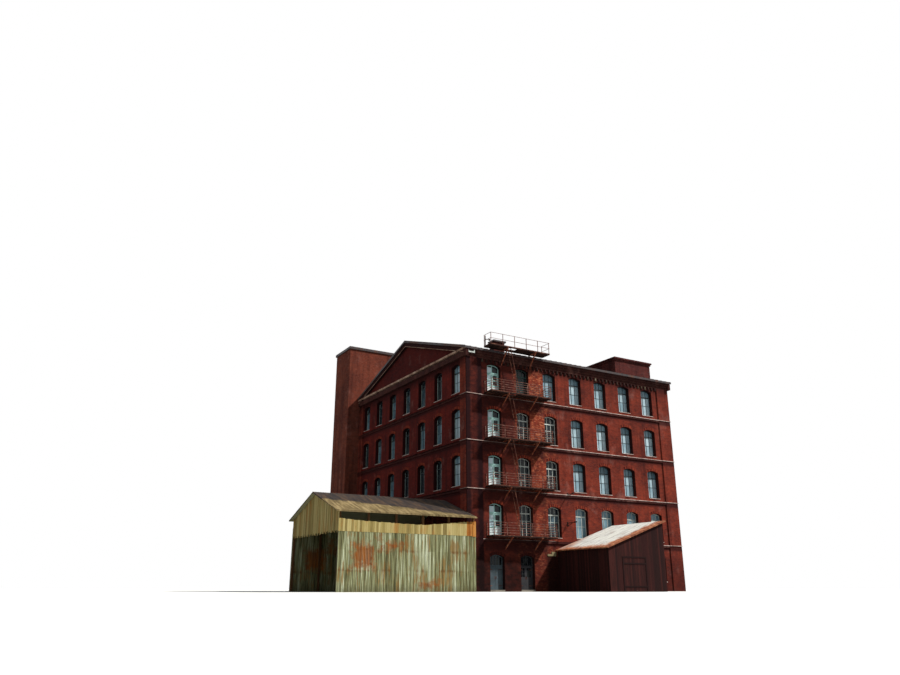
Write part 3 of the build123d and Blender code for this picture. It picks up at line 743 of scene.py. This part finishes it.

# Window sills: a sloping ledge of rendered brick under each window, pale along its edge, with painted
# shade on the first bays of the front and on the left gable.
stone = Finish("weathered_ledge_render", roughness=0.92, specular=0.1)
base = stone.over(stone.mottle(1.8, 5.0, 0.65).between(0.35, 0.68), (232, 214, 206), (160, 128, 118))
base = stone.over(stone.mottle(6.0, 4.0).between(0.56, 0.7) * 0.6, base, (92, 84, 70))
x, y, z = stone.axes()
# painted shadow of the decks on the first bays and beside the low shed, and painted shade on the left gable
ledge_shade = largest(x.between(-4.2, -4.8), (z < 5.0) * x.between(-2.8, -3.1)) * x.between(-11.1, -10.8)
ledge_shade = ledge_shade * (y < -11.9) * stone.mottle(0.9, 3.0).between(0.4, 0.6, 0.95, 0.55)
base = stone.over(largest(ledge_shade, x.between(-12.66, -12.70, 0.0, 0.6)), base, (58, 38, 36))
ledge_render = stone.finish(base, stone.mottle(24.0, 5.0), 0.006, 0.6)
sill_out, sill_in, sill_under, sill_lip, sill_top = -0.055, 0.355, -0.055, -0.012, 0.03
sill = Shape()
sill.add([(x, y, z) for y, z in ((sill_out, sill_under), (sill_in, sill_under), (sill_out, sill_lip),
                                 (sill_in, sill_top)) for x in (-opening_width / 2, opening_width / 2)],
         BLOCK_FACES)
repeated("window_sills", sill.mesh("sill"), [(o.x, o.y, o.low, o.turn) for o in openings
                                             if o.kind not in ("entrance", "balcony")],
         ledge_render, 2)

# Ledges: the string courses are brick, capped with a thin pale weathering that throws off rain. Short
# caps run on round the corner piers. Above the tall shed the left gable has each cap twice.
# the courses are dark brick: soot and painted shadow under the pale caps
dress(brickwork("sooty_ledge_brick", (46, 20, 21), (84, 38, 34), (78, 60, 54), 40.0, ledges=False),
      "brick", "string_courses")
cap_out, cap_in, pier_cap_wide, pier_cap_deep = 0.12, 0.02, 0.08, 0.085
cap_left, cap_right = x_left + pier_width, x_right - pier_width
cap_near, cap_far = y_front + pier_side, y_back - pier_side
outer_x, outer_y = x_right + 0.16, y_back + 0.16
caps = Shape()


def cap(level, x0, x1, y0, y1):
    """Adds one run of the weathering, on the ledge of a floor level."""
    caps.block(x0, x1, y0, y1, level + 0.085, level + 0.135)


for level in floor_levels:
    runs, gable_from, gable_caps, piers = [(cap_left, cap_right)], cap_near, 2, [(-1, -1), (1, -1), (1, 1)]
    if level == floor_levels[0]:
        # the two sheds stand in the way
        runs = [(cap_left, low_x0 - 0.26), (low_x1 + 0.26, cap_right)]
        gable_from, gable_caps, piers = shed_y1 + pier_side, 1, [(1, -1), (1, 1)]
    for x0, x1 in runs:
        cap(level, x0, x1, y_front - cap_out, y_front + cap_in)
    cap(level, tower_right + 0.01, cap_right, y_back - cap_in, y_back + cap_out)
    for _ in range(gable_caps):
        cap(level, x_left - cap_out, x_left + cap_in, gable_from, cap_far)
    cap(level, x_right - cap_in, x_right + cap_out, cap_near, cap_far)
    for side, end in piers:
        cap(level, *sorted((side * cap_right, side * outer_x)),
            *sorted((end * (outer_y - pier_cap_deep), end * outer_y)))
        cap(level, *sorted((side * (outer_x - pier_cap_wide), side * outer_x)),
            *sorted((end * cap_far, end * (outer_y - pier_cap_deep))))
caps.piece("ledge_caps", ledge_render, "brick")

# Eaves: corbelled brick cornices with a row of dentils below, black with soot and green with moss,
# and the level and raking cornices of the two gable ends.
dress(brickwork("sooty_cornice_brick", (50, 22, 24), (90, 46, 42), (92, 78, 64), 21.4, 1.3, False),
      "brick", "eaves_cornices", "gable_cornices")
mossy = Finish("mossy_dentil_brick", roughness=0.95, specular=0.06)
base = mossy.ramp(mossy.attribute("shade") * 0.45 + mossy.mottle(1.2, 4.0), (0.35, (40, 22, 24)),
                  (0.74, (60, 42, 38)), (0.90, (88, 76, 62)), (1.0, (150, 138, 118)))
base = mossy.over(mossy.axes()[0].between(3.5, -1.0, 0.0, 0.85), base, (46, 28, 26))
mossy.finish(base, mossy.mottle(26.0, 4.0), 0.005, 0.7)
dentil = Shape()
dentil.block(-0.085, 0.085, -0.105, 0.01, -0.24, 0.0)
dentil.block(-0.125, 0.125, -0.06, 0.01, -0.30, -0.24)
dentil_places, dentils, dentil_top = [], 46, 20.5
dentil_margin = pier_width + 0.16
for i in range(dentils):
    x = x_left + dentil_margin + (x_right - x_left - 2 * dentil_margin) * i / (dentils - 1)
    dentil_places.append((x, y_front, dentil_top, FRONT))
    if x > tower_right + 0.2:
        dentil_places.append((x, y_back, dentil_top, BACK))
repeated("cornice_dentils", dentil.mesh("dentil"), dentil_places, mossy.material, 21)
# a frame of white boards is left over the front left corner of the cornice
corner = Shape()
for x0, x1, z0, z1 in ((-12.72, -11.93, 21.10, 21.28), (-12.72, -11.93, 20.80, 20.93),
                       (-12.72, -12.58, 20.93, 21.10), (-12.02, -11.93, 20.93, 21.10)):
    corner.block(x0, x1, y_front - 0.378, y_front - 0.358, z0, z1)
corner.piece("corner_boards", white_paint, "white_paint")
cement = mottled("tan_cement_weathering", (1.5, 0.68), [
    (0.32, (104, 78, 66)), (0.5, (170, 136, 116)), (0.68, (206, 180, 158))], (22.0, 5.0, 0.006, 0.6),
    (0.92, 0.0, 0.2))
weatherings = Shape()
for side in (-1, 1):
    x0, x1 = sorted((side * (x_right + 0.02), side * (x_right + 0.308)))
    weatherings.block(x0, x1, y_front - 0.36, y_back + 0.36, eave - 0.14, eave + 0.045)
    # under the raking verges, from eave to ridge and down again
    for end in (-1, 1):
        ends = sorted(((0.0, eave + ridge_rise + 0.008), (end * (y_back - 0.025), eave + 0.02)))
        weatherings.add([(x, y, z - drop) for drop in (0.45, 0.405) for y, z in ends for x in (x0, x1)],
                        BLOCK_FACES)
weatherings.piece("gable_weatherings", cement, "brick")

# Roof: dark sheet iron laid in bays with standing seams from eave to ridge, rusting brown in runs.
sheet_iron = Finish("dark_roof_iron", roughness=0.62, metallic=0.25, specular=0.4)
rust_run = sheet_iron.mottle(1.0, 4.0, 0.62, (1.7, 0.25, 0.25))
base = sheet_iron.ramp(rust_run, (0.34, (34, 30, 34)), (0.54, (58, 46, 46)), (0.68, (96, 62, 48)),
                       (0.85, (122, 82, 60)))
base = sheet_iron.over(sheet_iron.mottle(5.0, 4.0).between(0.55, 0.72) * 0.5, base, (78, 74, 70))
roof_iron = sheet_iron.finish(base, sheet_iron.mottle(7.0, 3.0), 0.01, 0.3,
                              rust_run.between(0.4, 0.7, 0.5, 0.85))
dress(roof_iron, "roof_metal", "front_roof_slope", "back_roof_slope", "ridge_cap", "vent_stack_cap",
      "tower_roof", "tower_coping")
slope = ridge_rise / y_back
pitch, overhang = math.atan(slope), 0.45
eave_reach, thickness = y_back + overhang, roof_slab / math.cos(pitch)
eave_level, ridge_level = eave - overhang * slope + thickness, eave + ridge_rise + thickness
seam_count, seam_width, seam_height = 43, 0.022, 0.034
seam_length = math.hypot(eave_reach, ridge_level - eave_level) - 0.06
seam_step = (x_right - x_left + 0.8) / (seam_count - 1)
for side, label in ((-1, "front"), (1, "back")):
    group = Repeats("standing seams")
    row = group.add("GeometryNodeMeshLine", {
        "Count": seam_count, "Offset": (seam_step, 0, 0),
        "Start Location": (x_left - 0.40, side * eave_reach / 2, (eave_level + ridge_level) / 2 + 0.016)})
    rib = group.cube((seam_width, seam_length, seam_height))
    ribs = group.close(group.copied(rib, row, group.turned(x=-side * pitch)))
    grown(f"{label}_roof_seams", plain_mesh("seams", [], []), ribs, {"Finish": roof_iron})

# Roof box, vent stack and rear tower: brick of the same clay, under thin dark caps.
dress(brickwork("tower_brick", (80, 32, 28), (146, 72, 52), (132, 100, 86), 28.4, ledges=False), "brick",
      "tower_walls")
dress(brickwork("roof_box_brick", (62, 28, 30), (116, 52, 46), (108, 84, 80), 25.0, 1.2, False), "brick",
      "roof_box_walls", "roof_box_cap", "vent_stack")

# Fire escape: platforms, struts, railings and steep ladders of angle and flat iron, once painted,
# now rusty and pale with wear along the edges.
dress(mottled("rusty_painted_iron", (3.2, 0.68), [
    (0.30, (70, 42, 38)), (0.46, (110, 70, 60)), (0.58, (152, 110, 98)), (0.72, (196, 170, 158))],
    (34.0, 4.0, 0.002, 0.6), (0.8, 0.1, 0.15)), "iron", "balcony_railings")
brown_iron = mottled("brown_rusty_iron", (2.6, 0.68), [
    (0.34, (52, 30, 28)), (0.52, (92, 56, 46)), (0.70, (150, 104, 82))], (30.0, 4.0, 0.002, 0.6))
dress(brown_iron, "iron", "balcony_ladders")
dress(mottled("orange_rusty_iron", (3.0, 0.68), [
    (0.34, (96, 44, 34)), (0.52, (148, 80, 58)), (0.70, (196, 140, 112))], (30.0, 4.0, 0.002, 0.6)),
    "iron", "balcony_brackets")
dark_iron = mottled("dark_deck_iron", (1.5, 0.66), [
    (0.35, (30, 22, 22)), (0.55, (56, 38, 34)), (0.8, (104, 70, 56))], (18.0, 4.0, 0.004, 0.5))
dress(dark_iron, "iron", "second_storey_deck", "third_storey_deck", "fourth_storey_deck",
      "fifth_storey_deck", "roof_platform")
edges, joists = Shape(), Shape()
deck_in, deck_gap, flat, joist_count, joist_wide = y_front - 0.14, 0.001, 0.006, 15, 0.035
for top in deck_tops:
    # a flat along the outer edges, and joists under the plates of the four balconies
    low, high = top - 0.055, top + 0.012
    edges.block(deck_x0 - flat, deck_x1 + flat, deck_y0 - deck_gap - flat, deck_y0 - deck_gap, low, high)
    for x in (deck_x0 - deck_gap - flat, deck_x1 + deck_gap):
        edges.block(x, x + flat, deck_y0 - deck_gap, deck_in, low, high)
    if top != deck_tops[-1]:
        for i in range(joist_count):
            x = deck_x0 + 0.12 + (deck_x1 - deck_x0 - 0.28) * i / (joist_count - 1)
            joists.block(x, x + joist_wide, deck_y0 + 0.03, deck_in, top - 0.18, top - 0.122)
edges.piece("deck_edge_flats", brown_iron, "iron")
joists.piece("deck_joists", brown_iron, "iron")
# a wall arm on two storeys, each with a plate, a head and a strut, and a pole aloft
arms = Shape()
for x, z, reach in ((-1.73, 6.0, 1.2), (-1.60, 8.62, 0.9)):
    end = y_front - reach
    for half_wide, y0, y1, low, high in ((0.025, end, y_front + 0.01, -0.03, 0.03),
                                         (0.06, y_front - 0.03, y_front + 0.01, -0.3, 0.12),
                                         (0.09, end - 0.03, end + 0.15, -0.02, 0.09)):
        arms.block(x - half_wide, x + half_wide, y0, y1, z + low, z + high)
    strut = (y_front - reach * 0.55, z - 0.06), (y_front, z - 0.30)
    arms.add([(side, y, high + thick) for thick in (0.0, 0.04) for y, high in strut
              for side in (x - 0.014, x + 0.014)], BLOCK_FACES)
pole_x, arm_x, pole_foot = deck_x0 + 0.06, deck_x0 + 0.125, deck_tops[-1]
for x0, x1, out, inward, low, high in ((pole_x, arm_x, 0.16, 0.095, 0.0, 1.03),
                                       (arm_x, arm_x + 0.425, 0.15, 0.105, 0.67, 0.71),
                                       (arm_x + 0.375, arm_x + 0.495, 0.19, 0.065, 0.61, 0.77)):
    arms.block(x0, x1, y_front - out, y_front - inward, pole_foot + low, pole_foot + high)
arms.piece("wall_arms_and_pole", dark_iron, "iron")

# Ground-level doors: two pairs of framed leaves on strap hinges under curved lights.
blue_grey = paint("blue_grey_door_paint", (74, 88, 96), (50, 62, 68), (74, 66, 58))
dark_grey = paint("dark_grey_door_paint", (56, 56, 60), (36, 38, 42), (70, 60, 54))
dress(glass.material, "window_glass", "door_lights")
door_face, panel_face = y_front + 0.36, y_front + 0.3755
leaf_foot, leaf_head, leaf_far, leaf_gap, lock, stile = 0.164, 2.086, 0.656, 0.007, 1.15, 0.11
grip_off, grip, grip_levels = 0.062, 0.008, (1.07, 1.21)
for number, door_paint, slot in ((1, blue_grey, "blue_grey_paint"), (2, dark_grey, "grey_paint")):
    dress(door_paint, slot, *(f"door_{number}_{part}" for part in ("frame", "left_leaf", "right_leaf")))
    dress(brown_iron, "iron", f"door_{number}_left_hinges", f"door_{number}_right_hinges")
    middle = front_centres[number - 1]
    # bars of the curved light
    bars = Shape()
    for x in (-0.335, 0.0, 0.335) if number == 1 else (-0.22, 0.22):
        bars.block(middle + x - 0.02, middle + x + 0.02, door_face + 0.012, door_face + 0.05, 2.17,
                   arc_height(x, ground_crown) - 0.06)
    bars.piece(f"door_{number}_light_bars", door_paint, slot)
    for side, name in ((-1, "left"), (1, "right")):
        x0, x1 = sorted((middle + side * leaf_far, middle + side * leaf_gap))
        x0, x1 = x0 + stile, x1 - stile
        board = (x1 - x0) / boards_wide
        panels, lit, pull = Shape(), Shape(), Shape()
        fields = [(leaf_foot + stile, lock - stile / 2), (lock + stile / 2, leaf_head - stile)]
        for low, high in fields[:1] if number == 2 else fields:
            for i in range(boards_wide):
                x = x0 + board * i
                panels.block(x + board_gap, x + board - board_gap, door_face + 0.004, panel_face,
                             low + 0.002, high - 0.002)
        if number == 2:
            # the second pair has six panes in each leaf, above the lock rail
            low, high = fields[1]
            lit.block(x0 + 0.001, x1 - 0.001, door_face + 0.009, panel_face, low + 0.001, high - 0.001)
            x = (x0 + x1) / 2
            panels.block(x - 0.014, x + 0.014, door_face - 0.001, panel_face, low, high)
            for share in (0.36, 0.68):
                z = low + (high - low) * share
                panels.block(x0, x1, door_face + 0.001, panel_face, z - 0.011, z + 0.011)
        # an iron plate on the meeting stile, and a pull on the right leaf
        x = middle + side * grip_off
        pull.block(x - 0.022, x + 0.022, door_face - 0.004, door_face + 0.001, 1.02, 1.28)
        if side > 0:
            for z in grip_levels:
                pull.block(x - grip, x + grip, door_face - 0.045, door_face - 0.003, z - grip, z + grip)
            pull.block(x - grip, x + grip, door_face - 0.057, door_face - 0.043, grip_levels[0] - 0.015,
                       grip_levels[1] + 0.015)
        for label, shape, material, kind in (("boards", panels, door_paint, slot),
                                             ("panes", lit, glass.material, "window_glass"),
                                             ("pull", pull, brown_iron, "iron")):
            if shape.points:
                shape.piece(f"door_{number}_{name}_{label}", material, kind, f"door_{number}_{name}")

# Floors: a concrete ground floor and boarded upper floors.
dress(mottled("worn_concrete", (1.1, 0.65), [(0.3, (104, 98, 90)), (0.7, (150, 142, 130))],
              (20.0, 5.0, 0.004, 0.5), (0.92, 0.0, 0.25)), "concrete", "ground_floor")
planks = Finish("worn_floor_boards", roughness=0.8)
laid = planks.node("ShaderNodeTexBrick", {
    "Vector": planks.place, "Color1": shade((96, 74, 54)), "Color2": shade((124, 98, 72)),
    "Mortar": shade((40, 30, 24)), "Scale": 1.0, "Mortar Size": 0.003, "Brick Width": 4.0,
    "Row Height": 0.16})
each, joint = Value(planks, laid.outputs[0]), Value(planks, laid.outputs[1])
base = planks.over(planks.mottle(6.0, 4.0, 0.6, (0.3, 4, 1)) * 0.5, each, (70, 54, 40))
dress(planks.finish(base, 1.0 - joint, 0.003, 0.4), "floor_boards", "upper_floors")

# Tall shed: corrugated iron sheets in three lifts, faded greenish grey and streaked with ochre rust,
# each lift lapped over the one below and nailed to rails between the posts.
sheet_cover, sheet_thick = 0.65, 0.0015
sheet_wave, wave_depth, wave_steps = 0.13, 0.026, 6
laps = (1.58, 3.03)


def corrugated_sheet(tall):
    """One sheet facing -Y, its lower left corner at the origin."""
    count = round(sheet_cover / sheet_wave) * wave_steps
    points, faces = [], [(0, 1, 3, 2), (4 * count, 4 * count + 2, 4 * count + 3, 4 * count + 1)]
    for i in range(count + 1):
        x = sheet_cover * i / count
        y = -wave_depth / 2 * (1 - math.cos(2 * math.pi * x / sheet_wave))
        points += [(x, y, 0), (x, y, tall), (x, y + sheet_thick, 0), (x, y + sheet_thick, tall)]
    for a in range(0, 4 * count, 4):
        faces += [(a, a + 4, a + 5, a + 1), (a + 2, a + 3, a + 7, a + 6), (a, a + 2, a + 6, a + 4),
                  (a + 1, a + 5, a + 7, a + 3)]
    return plain_mesh("sheet", points, faces)


def shed_iron_finish():
    """Zinc-coated sheet with rain streaks down it, rusty laps and patches rusted through."""
    sheet = Finish("faded_corrugated_iron", roughness=0.72, metallic=0.05, specular=0.2)
    x, y, z = sheet.axes()
    wide = sheet.mottle(1.0, 4.0, 0.7, (2.6, 2.6, 0.16))
    fine = sheet.mottle(1.0, 3.0, 0.65, (13.0, 13.0, 0.45))
    tone = wide * 0.42 + fine * 0.58 + sheet.attribute("shade").between(0, 1, -0.035, 0.035)
    base = sheet.ramp(tone, (0.38, (78, 76, 48)), (0.46, (126, 126, 86)), (0.54, (164, 168, 130)),
                      (0.62, (206, 212, 184)))
    run = sheet.mottle(1.0, 4.0, 0.7, (4.2, 4.2, 0.22))
    cloud = sheet.mottle(0.55, 3.0, 0.6)
    ochre = (run + cloud.between(0.4, 0.65, -0.10, 0.10)).between(0.52, 0.62) * 0.8
    base = sheet.over(ochre, base, (146, 112, 58))
    # dark joints at the sides of the sheets
    spacing = sheet_cover / 2
    seam = (x - shed_x0) % spacing
    near = largest(seam.between(0.035, 0.012), seam.between(spacing - 0.02, spacing))
    base = sheet.over(near * fine.between(0.32, 0.55, 0.35, 0.95), base, (54, 44, 28))
    edge = sheet.mottle(2.4, 4.0, 0.7).between(0.3, 0.7, -0.35, 0.35)
    for x0, x1, z0, z1 in ((-23.7, -21.7, 1.65, 3.65), (-21.5, -21.0, 3.0, 4.5), (-17.9, -15.9, 0.25, 0.85),
                           (-21.0, -19.1, 3.1, 3.75)):
        across, up = (x1 - x0) / 2 - abs(x - (x0 + x1) / 2), (z1 - z0) / 2 - abs(z - (z0 + z1) / 2)
        inside = (sheet.calc("MINIMUM", across, up) + edge).between(-0.15, 0.45)
        rust = sheet.over(run.between(0.4, 0.6), (112, 60, 22), (164, 94, 30))
        base = sheet.over(inside * fine.between(0.40, 0.56, 1.0, 0.84), base, rust)
    # rust creeps along the laps
    for lap in laps:
        band = abs(z - lap).between(0.16, 0.02) * cloud.between(0.46, 0.58)
        base = sheet.over(band * run.between(0.44, 0.56, 0.1, 0.7), base, (112, 72, 34))
    splash = (z + sheet.mottle(2.2, 3.0)).between(1.15, 0.35)
    base = sheet.over(splash * 0.6, base, (74, 68, 42))
    return sheet.finish(base, sheet.mottle(16.0, 4.0), 0.002, 0.4)


shed_iron = shed_iron_finish()
sheets = 19
sheet_starts = [(shed_length - sheet_cover) * i / (sheets - 1) for i in range(sheets)]
uneven = random.Random(17)
for number, (low, high) in enumerate([(0.0, 1.62), (1.56, 3.06), (3.0, shed_top)]):
    places = [(shed_x0 + start, shed_y0 - 0.002 - 0.0016 * (number % 2) - 0.0016 * (i % 2),
               low + uneven.uniform(0, 0.02) * (number > 0), FRONT) for i, start in enumerate(sheet_starts)]
    repeated(f"shed_front_sheets_{number + 1}", corrugated_sheet(high - low - 0.02), places, shed_iron,
             31 + number)
dress(shed_iron, "corrugated_iron", "shed_front_wall", "shed_back_wall")
repeated("shed_back_sheets", corrugated_sheet(shed_board_top - 0.01),
         [(shed_x0 + sheet_cover + start, shed_y1 + 0.003, 0.0, BACK) for start in sheet_starts],
         shed_iron, 37)

# Boarding: upright sawn planks of uneven height nailed side by side over the sheets and on the open
# end up to the roof. They have faded to ochre, and the corner board is orange with rust from its nails.


def boards_group():
    """Upright boards on points, each as tall as its tone says, each with a random shade and lean."""
    group = Repeats("upright boards", Width="Float", Thickness="Float", Lean="Float", Seed="Int")
    board = group.cube(group.vector(group.given("Width"), group.given("Thickness"), 1.0))
    stood = group.add("GeometryNodeTransform", {"Geometry": board, "Translation": (0, 0, 0.5)})
    lean = group.given("Lean")
    facing = group.turned(y=group.chance(lean * -1.0, lean), z=group.named("turn"))
    stretch = group.vector(1.0, 1.0, group.named("tone"))
    return group.close(group.varied(group.copied(stood, group.given(), facing, stretch)))


boarding = boards_group()


def boards(name, places, width, thick, material, lean, seed):
    return grown(name, places_mesh(name, places), boarding,
                 {"Width": width, "Thickness": thick, "Lean": lean, "Seed": seed, "Finish": material})


def board_finish(name, deep, fresh, pale, rust):
    """Sawn boards: grain along them, a shade for each, weather and rust from the nails."""
    wood = Finish(name, roughness=0.86, specular=0.12)
    grain = wood.mottle(1.0, 5.0, 0.7, (26.0, 26.0, 1.3))
    tone = wood.attribute("shade") * 0.55 + grain * 0.6
    base = wood.ramp(tone, (0.2, deep), (0.55, fresh), (0.95, pale))
    stain = wood.mottle(1.0, 4.0, 0.65, (2.2, 2.2, 0.5))
    base = wood.over(stain.between(0.50, 0.68) * 0.7, base, rust)
    return wood.finish(base, grain, 0.003, 0.5)


def shed_under(y):
    """Underside of the tall shed's roof."""
    run = shed_yr - shed_y0 if y < shed_yr else shed_y1 - shed_yr
    return shed_eave + shed_rise * (1 - abs(y - shed_yr) / run)


ochre = board_finish("faded_ochre_boards", (104, 88, 50), (168, 150, 92), (202, 186, 130), (172, 118, 56))
orange = board_finish("orange_corner_boards", (128, 74, 30), (184, 120, 52), (206, 150, 84), (150, 84, 34))
timber = board_finish("weathered_shed_timber", (78, 52, 32), (128, 92, 58), (160, 126, 86), (104, 66, 36))
uneven = random.Random(23)
front_boards, corner_boards, end_boards = [], [], []
board_width, board_foot, count = 0.168, 4.40, 70
for i in range(count):
    along = i / (count - 1)
    x = shed_x0 + 0.09 + (shed_length - 0.18) * along
    # the tops sag in the middle and climb towards the mill
    top = shed_board_top + 0.10 * (1 - along) - 0.16 * math.sin(math.pi * along) + uneven.uniform(-0.03, 0.03)
    top += 0.9 * max(0, along - 0.6)
    (corner_boards if along > 0.93 else front_boards).append((x, shed_y0 - 0.016, board_foot, FRONT,
                                                              top - board_foot))
for i in range(2):
    corner_boards.append((x_left - 0.09 - 0.17 * i, shed_y0 - 0.044, 4.36, FRONT, 1.20 - 0.25 * i))
end_width, count = 0.176, 58
for i in range(count):
    y = shed_y0 + 0.09 + (shed_y1 - shed_y0 - 0.18) * i / (count - 1)
    high = min(shed_under(y - end_width / 2), shed_under(y + end_width / 2)) - 0.012
    low = shed_top - 0.10 * math.sin(i * 1.9) - uneven.uniform(0, 0.05)
    end_boards.append((shed_x0 + 0.03, y, low, LEFT, high - low))
strip = boards("shed_front_boards", front_boards, board_width, 0.024, ochre, 0.004, 41)
boards("shed_corner_boards", corner_boards, board_width, 0.024, orange, 0.004, 43)
boards("shed_end_boards", end_boards, end_width, 0.028, ochre, 0.002, 47)
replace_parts(strip, "shed_boards")
rails = Shape()
for z in (4.52, 4.96):
    rails.block(shed_x0 + 0.02, x_left - 0.01, shed_y0 + 0.001, shed_y0 + 0.055, z, z + 0.1)
for z in (4.56, 5.9):
    rails.block(shed_x0 + 0.047, shed_x0 + 0.12, shed_y0 + 0.25, shed_y1 - 0.25, z, z + 0.1)
rails.piece("shed_board_rails", timber, "timber")
dress(timber, "timber", "shed_posts")

# Shed roof: corrugated sheets in three courses on each slope, dark brown and black above and tan along
# the front eave.
roof_wave, roof_wave_depth = 0.15, 0.028


def ribbed_skin(name, corner, across, up, wide, long, material, slot, rows=3):
    """Corrugated courses laid up a slope from a low corner, each course lapped over the one below."""
    across, up = Vector(across), Vector(up).normalized()
    out = across.cross(up)
    count = int(wide / roof_wave) * 5
    skin = Shape()
    for row in range(rows):
        low, high = long * row / rows - (0.08 if row else 0), long * (row + 1) / rows
        points, faces = [], [(0, 2, 3, 1), (4 * count, 4 * count + 1, 4 * count + 3, 4 * count + 2)]
        for i in range(count + 1):
            along = wide * i / count
            rise = roof_wave_depth / 2 * (1 - math.cos(2 * math.pi * along / roof_wave))
            for climb, lift in ((low, 0.006 if row else 0.0), (high, 0.0)):
                foot = Vector(corner) + across * along + up * climb + out * (rise + lift)
                points += [tuple(foot + out * 0.004), tuple(foot)]
        for a in range(0, 4 * count, 4):
            faces += [(a, a + 4, a + 6, a + 2), (a + 1, a + 3, a + 7, a + 5), (a, a + 1, a + 5, a + 4),
                      (a + 2, a + 6, a + 7, a + 3)]
        skin.add(points, faces)
    skin.piece(name, material, slot)


rusty = Finish("rusty_shed_roof", roughness=0.82, metallic=0.05, specular=0.12)
x, y, z = rusty.axes()
streak = rusty.mottle(1.0, 4.0, 0.7, (5.0, 0.5, 0.5))
tan_tone = rusty.ramp(streak, (0.34, (90, 76, 52)), (0.5, (134, 116, 80)), (0.66, (172, 152, 112)))
dark_tone = rusty.ramp(streak, (0.34, (40, 38, 40)), (0.5, (64, 56, 52)), (0.66, (98, 76, 58)))
# the tan strip runs wide at the open end and narrows towards the mill
ragged = rusty.mottle(0.8, 4.0, 0.65).between(0.3, 0.7, -0.35, 0.35)
strip_edge = x.between(shed_roof_x0, x_left, -9.9, -13.3) + ragged
base = rusty.over((strip_edge - y).between(-0.12, 0.12), dark_tone, tan_tone)
# painted light: the downward faces are pale, for the bright gap seen under the front eave
base = rusty.over(rusty.facing()[2] < -0.5, base, (186, 186, 148))
rusty_sheet = rusty.finish(base, rusty.mottle(12.0, 4.0), 0.003, 0.5)
dress(rusty_sheet, "rusty_sheet", "shed_front_roof", "shed_back_roof")
skin_x1 = x_left - 0.02
for label, start, way, eave_y in (("front", shed_roof_x0, 1, shed_y0), ("back", skin_x1, -1, shed_y1)):
    run = abs(shed_yr - eave_y)
    slope = shed_rise / run
    foot = shed_eave - shed_overhang * slope + shed_slab * math.hypot(1, slope) + 0.002
    reach, climb = run + shed_overhang, shed_rise + shed_overhang * slope
    ribbed_skin(f"shed_{label}_roof_sheets", (start, eave_y - way * shed_overhang, foot), (way, 0, 0),
                (0, way * reach, climb), skin_x1 - shed_roof_x0, math.hypot(reach, climb), rusty_sheet,
                "rusty_sheet")

# Low shed: one slope of whitewashed corrugated sheet, rusty orange along the eave and the front rake,
# over walls of dark maroon upright boards with a boarded double door in the front.
whitewash = Finish("whitewashed_shed_roof", roughness=0.75, metallic=0.05, specular=0.3)
x, y, z = whitewash.axes()
runs = whitewash.mottle(1.0, 5.0, 0.72, (0.55, 4.5, 0.55))
white_tone = whitewash.ramp(runs, (0.34, (150, 142, 132)), (0.45, (192, 191, 188)),
                            (0.56, (214, 214, 206)))
drift = whitewash.mottle(1.3, 5.0, 0.7, (1.0, 1.6, 1.0)).between(0.3, 0.7, -0.55, 0.55)
rust = largest((y + drift).between(-17.55, -18.1), (x + drift).between(-2.35, -2.95),
               (y - x * 0.5).between(-12.8, -11.6) * 0.75, runs.between(0.37, 0.31) * 0.7)
rust_tone = whitewash.ramp(whitewash.mottle(2.2, 5.0, 0.7), (0.35, (96, 50, 34)), (0.5, (150, 88, 58)),
                           (0.66, (192, 136, 98)))
white_sheet = whitewash.finish(whitewash.over(rust, white_tone, rust_tone), whitewash.mottle(12.0, 4.0),
                               0.003, 0.5)
dress(white_sheet, "white_sheet", "low_shed_roof")
stretch, overhang = math.hypot(1, low_slope), 0.25
low_foot = low_eave - overhang * low_slope + shed_slab * stretch + 0.002
low_long = low_x1 - low_x0 + 2 * overhang
ribbed_skin("low_shed_roof_sheets", (low_x0 - overhang, y_front - 0.005, low_foot), (0, -1, 0),
            (low_long, 0, low_long * low_slope), y_front - low_y0 + 0.24, low_long * stretch - 0.002,
            white_sheet, "white_sheet", rows=2)
maroon = board_finish("dark_maroon_boards", (26, 12, 12), (48, 20, 19), (70, 32, 28), (34, 19, 16))
cream = board_finish("cream_wall_boards", (120, 108, 80), (176, 164, 128), (206, 196, 166), (140, 118, 84))
dress(maroon, "maroon_boards", "low_shed_front_wall", "low_shed_side_walls")
front_places, side_places, count = [], [], 36
for i in range(count):
    x = low_x0 + 0.085 + (low_x1 - low_x0 - 0.17) * i / (count - 1)
    front_places.append((x, low_y0 - 0.012, 0.02, FRONT, low_eave + (x - 0.08 - low_x0) * low_slope - 0.03))
for x, turn, high in ((low_x0 - 0.012, LEFT, 3.53), (low_x1 + 0.012, RIGHT, 5.75)):
    for i in range(count + 1):
        side_places.append((x, low_y0 + 0.085 + (y_front - low_y0 - 0.17) * i / count, 0.02, turn, high))
boards("low_shed_front_boards", front_places, 0.172, 0.022, maroon, 0.001, 53)
boards("low_shed_side_boards", side_places, 0.174, 0.022, maroon, 0.001, 59)
wall_boards, door_boards = Shape(), Shape()
for x0, x1, z0, z1 in ((-4.22, -3.27, 3.02, 3.2), (-3.75, -3.27, 3.205, 3.4)):
    wall_boards.block(x0, x1, y_front - 0.05, y_front, z0, z1)
for x0, x1, z0, z1 in ((-1.55, -1.43, 0.02, 2.72), (1.05, 1.17, 0.02, 2.72), (-1.55, 1.17, 2.72, 2.84),
                       (-1.43, 1.05, 0.35, 0.47), (-1.43, 1.05, 2.2, 2.32)):
    door_boards.block(x0, x1, low_y0 - 0.052, low_y0 - 0.022, z0, z1)
wall_boards.piece("low_shed_wall_boards", cream, "timber")
door_boards.piece("low_shed_door_boards", maroon, "maroon_boards")
